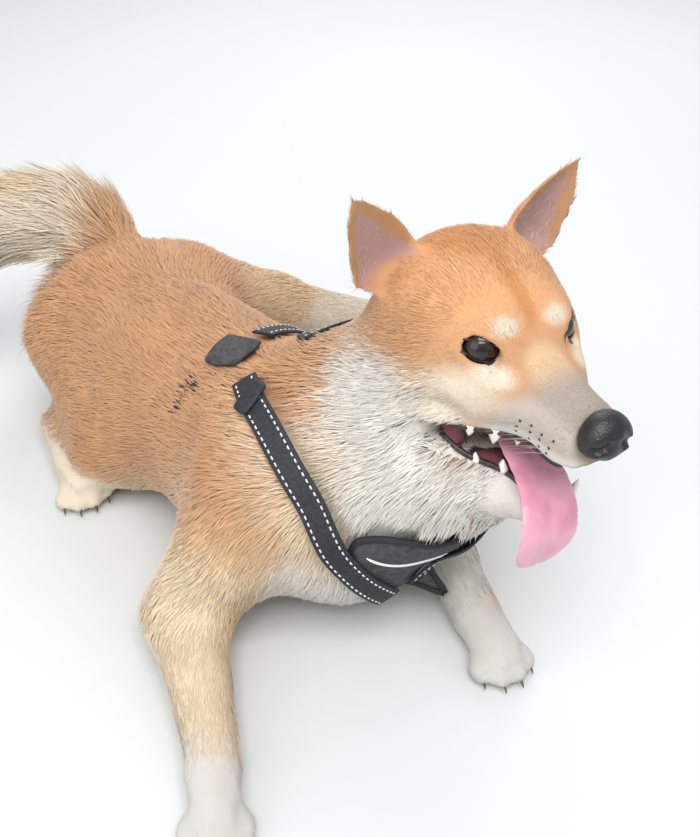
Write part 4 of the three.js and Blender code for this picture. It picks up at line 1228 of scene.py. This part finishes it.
# the head's hair strays less from its markings, and varies more in tone
def tuftColours(spots, up, strays=(2.6, 6.0), loud=(0.11, 0.06)):
    n = len(spots)
    inHead = np.linalg.norm((toHead(spots) - (0, 0, -20)) / (100, 90, 90), axis=1) < 1
    stray = rng.normal(size=(n, 3)) * np.where(inHead, *strays)[:, None] * mm
    base = markings(spots + stray, up)
    cup = inEarCup(spots, up) * rng.uniform(0, 0.9, n) ** 2
    base = base * (1 - cup[:, None]) + np.array(white) * cup[:, None]
    tone = 1 + np.where(inHead, *loud) * rng.normal(size=n) + 0.05 * ripple(spots, 9, 11)
    # painted shade at each tuft's root, and a little lighter tip
    share = np.repeat(tuftShadeTones, (3, 3, 1))
    colour = (base * tone[:, None])[:, None, :] * share[:, None]
    return np.clip(colour, 0, coatSizes["brightest"])


def makeCoat(skin):
    spots, up, roots = skinSamples(skin)
    n = len(spots)
    print("tufts kept", n)
    lie = lieOf(spots, up)
    scatter, waved = coatSizes["swing"]
    swing = np.radians(rng.normal(0, scatter, n) + waved * ripple(spots, 16, 3))
    lie = lie * np.cos(swing)[:, None] + np.cross(up, lie) * np.sin(swing)[:, None]
    side = np.cross(up, lie)
    lengths = patched(spots, skinSizes["baseLength"], lengthPatches) * mm
    lengths = lengths * (1 - coatSizes["lipLoss"] * nearMouth(spots))
    lengths = lengths * rng.uniform(0.72, 1.12, n) * (1 + 0.10 * ripple(spots, 22, 5))
    lift = patched(spots, skinSizes["baseLift"], liftPatches) * rng.uniform(0.75, 1.2, n)
    lift = np.radians(lift + 4 * ripple(spots, 12, 9))
    rises = (lift, lift * coatSizes["flatter"])
    start, end = (lie * np.cos(rise)[:, None] + up * np.sin(rise)[:, None] for rise in rises)
    rootAt = spots - up * coatSizes["sunk"] * mm
    half = rootAt + start * (lengths * coatSizes["bend"])[:, None]
    tip = half + end * (lengths * (1 - coatSizes["bend"]))[:, None]
    wide = np.clip(lengths * coatSizes["width"], *coatSizes["widths"]) * rng.uniform(0.8, 1.2, n)
    covered = underHarness(spots, 1.0) | underHarness(half, 2.0) | underHarness(tip, 1.0)
    covered |= insideMouth(half, -0.3) | insideMouth(tip, -0.3)
    verts, shade = np.zeros((n, 7, 3)), np.zeros((n, 7, 3))
    for k, (u, v) in enumerate(tuftProfile):
        verts[:, k] = rootAt + side * (wide * u)[:, None] + up * (wide * v)[:, None]
        verts[:, 3 + k] = half + side * (wide * u * 0.85)[:, None] + up * (wide * v * 0.8)[:, None]
        shade[:, k] = shade[:, 3 + k] = up + side * u * 0.7
    verts[:, 6] = tip
    shade[:, 6] = up + end * 0.2
    shade /= np.linalg.norm(shade, axis=2)[:, :, None]
    low, high = (np.array(corner) for corner in cadBox)
    verts = np.clip(verts, low + coatSizes["boxGap"], high - coatSizes["boxGap"])
    colour = tuftColours(spots, up)
    fur = painted("fur", 0.62, Sheen_Weight=0.2, Sheen_Roughness=0.5, Specular_IOR_Level=0.25)
    isLong = lengths >= coatSizes["short"] * mm
    for name, kind, some in (("long", isLong, [0, 1, 2, 3, 4, 5, 6]), ("short", ~isLong, [0, 1, 2, 6])):
        chosen = kind & ~covered
        print(name, "tufts", chosen.sum())
        parts = (values[chosen][:, some] for values in (verts, shade, colour))
        addTufts("coat_" + name, *parts, roots[chosen], tuftFaces[name], fur)


def addTufts(name, verts, shade, colour, roots, shape, fur):
    sides = verts.shape[1]
    angles = np.linspace(0, wholeTurn, sides, endpoint=False)
    corner = np.stack([np.cos(angles), np.sin(angles)], 1)
    flat = np.array([v for face in shape for v in face])
    size = np.array([len(face) for face in shape])
    first = np.concatenate([[0], np.cumsum(size)[:-1]])
    order = np.argsort(verts[:, 0, 0], kind="stable")
    pieces = math.ceil(len(order) * (size - 2).sum() / coatSizes["faces"])
    for number, chunk in enumerate(np.array_split(order, pieces)):
        m = len(chunk)
        loopVerts = (np.arange(m)[:, None] * sides + flat).ravel()
        starts = (np.arange(m)[:, None] * len(flat) + first).ravel()
        coat = bpy.data.meshes.new("%s_%d" % (name, number + 1))
        coat.vertices.add(m * sides)
        coat.vertices.foreach_set("co", verts[chunk].ravel())
        coat.loops.add(len(loopVerts))
        coat.loops.foreach_set("vertex_index", loopVerts)
        coat.polygons.add(len(starts))
        coat.polygons.foreach_set("loop_start", starts)
        coat.update(calc_edges=True)
        coat.polygons.foreach_set("use_smooth", np.ones(len(starts), bool))
        layer = coat.uv_layers.new(name="OFBake")
        patch = (roots[chunk][:, None, :] + corner * coatSizes["patch"]).reshape(-1, 2)
        layer.data.foreach_set("uv", np.clip(patch[loopVerts], 0, 1).ravel())
        piece = linked(coat.name, coat)
        colourAll(piece, colour[chunk].reshape(-1, 3))
        coat.normals_split_custom_set_from_vertices(shade[chunk].reshape(-1, 3))
        coat.materials.append(fur)
        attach(piece, root)


def underHarness(points, margin):
    near = np.zeros(len(points), bool)
    half = (webbing["width"] / 2 - margin) * mm
    for line in harnessSpots["straps"]:
        for p in line[::2]:
            near |= ((points - p) ** 2).sum(1) < half**2
    for p in harnessSpots["plate"][::9]:
        near |= ((points - p) ** 2).sum(1) < plateSizes["cover"] ** 2
    return near


# where no hair grows: mouth, eyes, under the nose, and the side that lies on the floor
def hidden(points, normals, eye=(14.6, 8.6), noseAt=(71, -29), nose=(19, 17), low=0.003, down=-0.5):
    out = insideMouth(points, 1.0) | mouthWall(points, normals)
    local = toHead(points)
    wide, tall = eye
    for s in (-1, 1):
        centre, look, left, up = eyeFrame(s)
        d = local - np.array(centre)
        a, b, deep = d @ np.array(left), d @ np.array(up), d @ np.array(look)
        out |= (np.hypot(a / wide, b / tall) < 1.0) & (deep > 0)
    x, y, z = local.T
    wide, tall = nose
    out |= (x > noseAt[0]) & (np.hypot(y / wide, (z - noseAt[1]) / tall) < 1)
    return out | ((points[:, 2] < low) & (normals[:, 2] < down))


addCamera()
addLights()
addFloor()
print("stage ready")
skin, coatSurface = makeSkin()
skinSurface = treeOf(skin)
print("skin ready", len(skin.data.polygons))
makeEye(-1, "eye_right", skinSurface)
makeEye(1, "eye_left", skinSurface)
makeNose()
makeTongue()
makeTeeth(coatSurface)
makeLips(skinSurface)
makeWhiskers(skinSurface)
makeClaws()
print("face ready")
makeHarness(coatSurface)
print("harness ready")
makeCoat(skin)
print("coat ready")


def corners(box):
    return [[float(c) for c in corner] for corner in box]
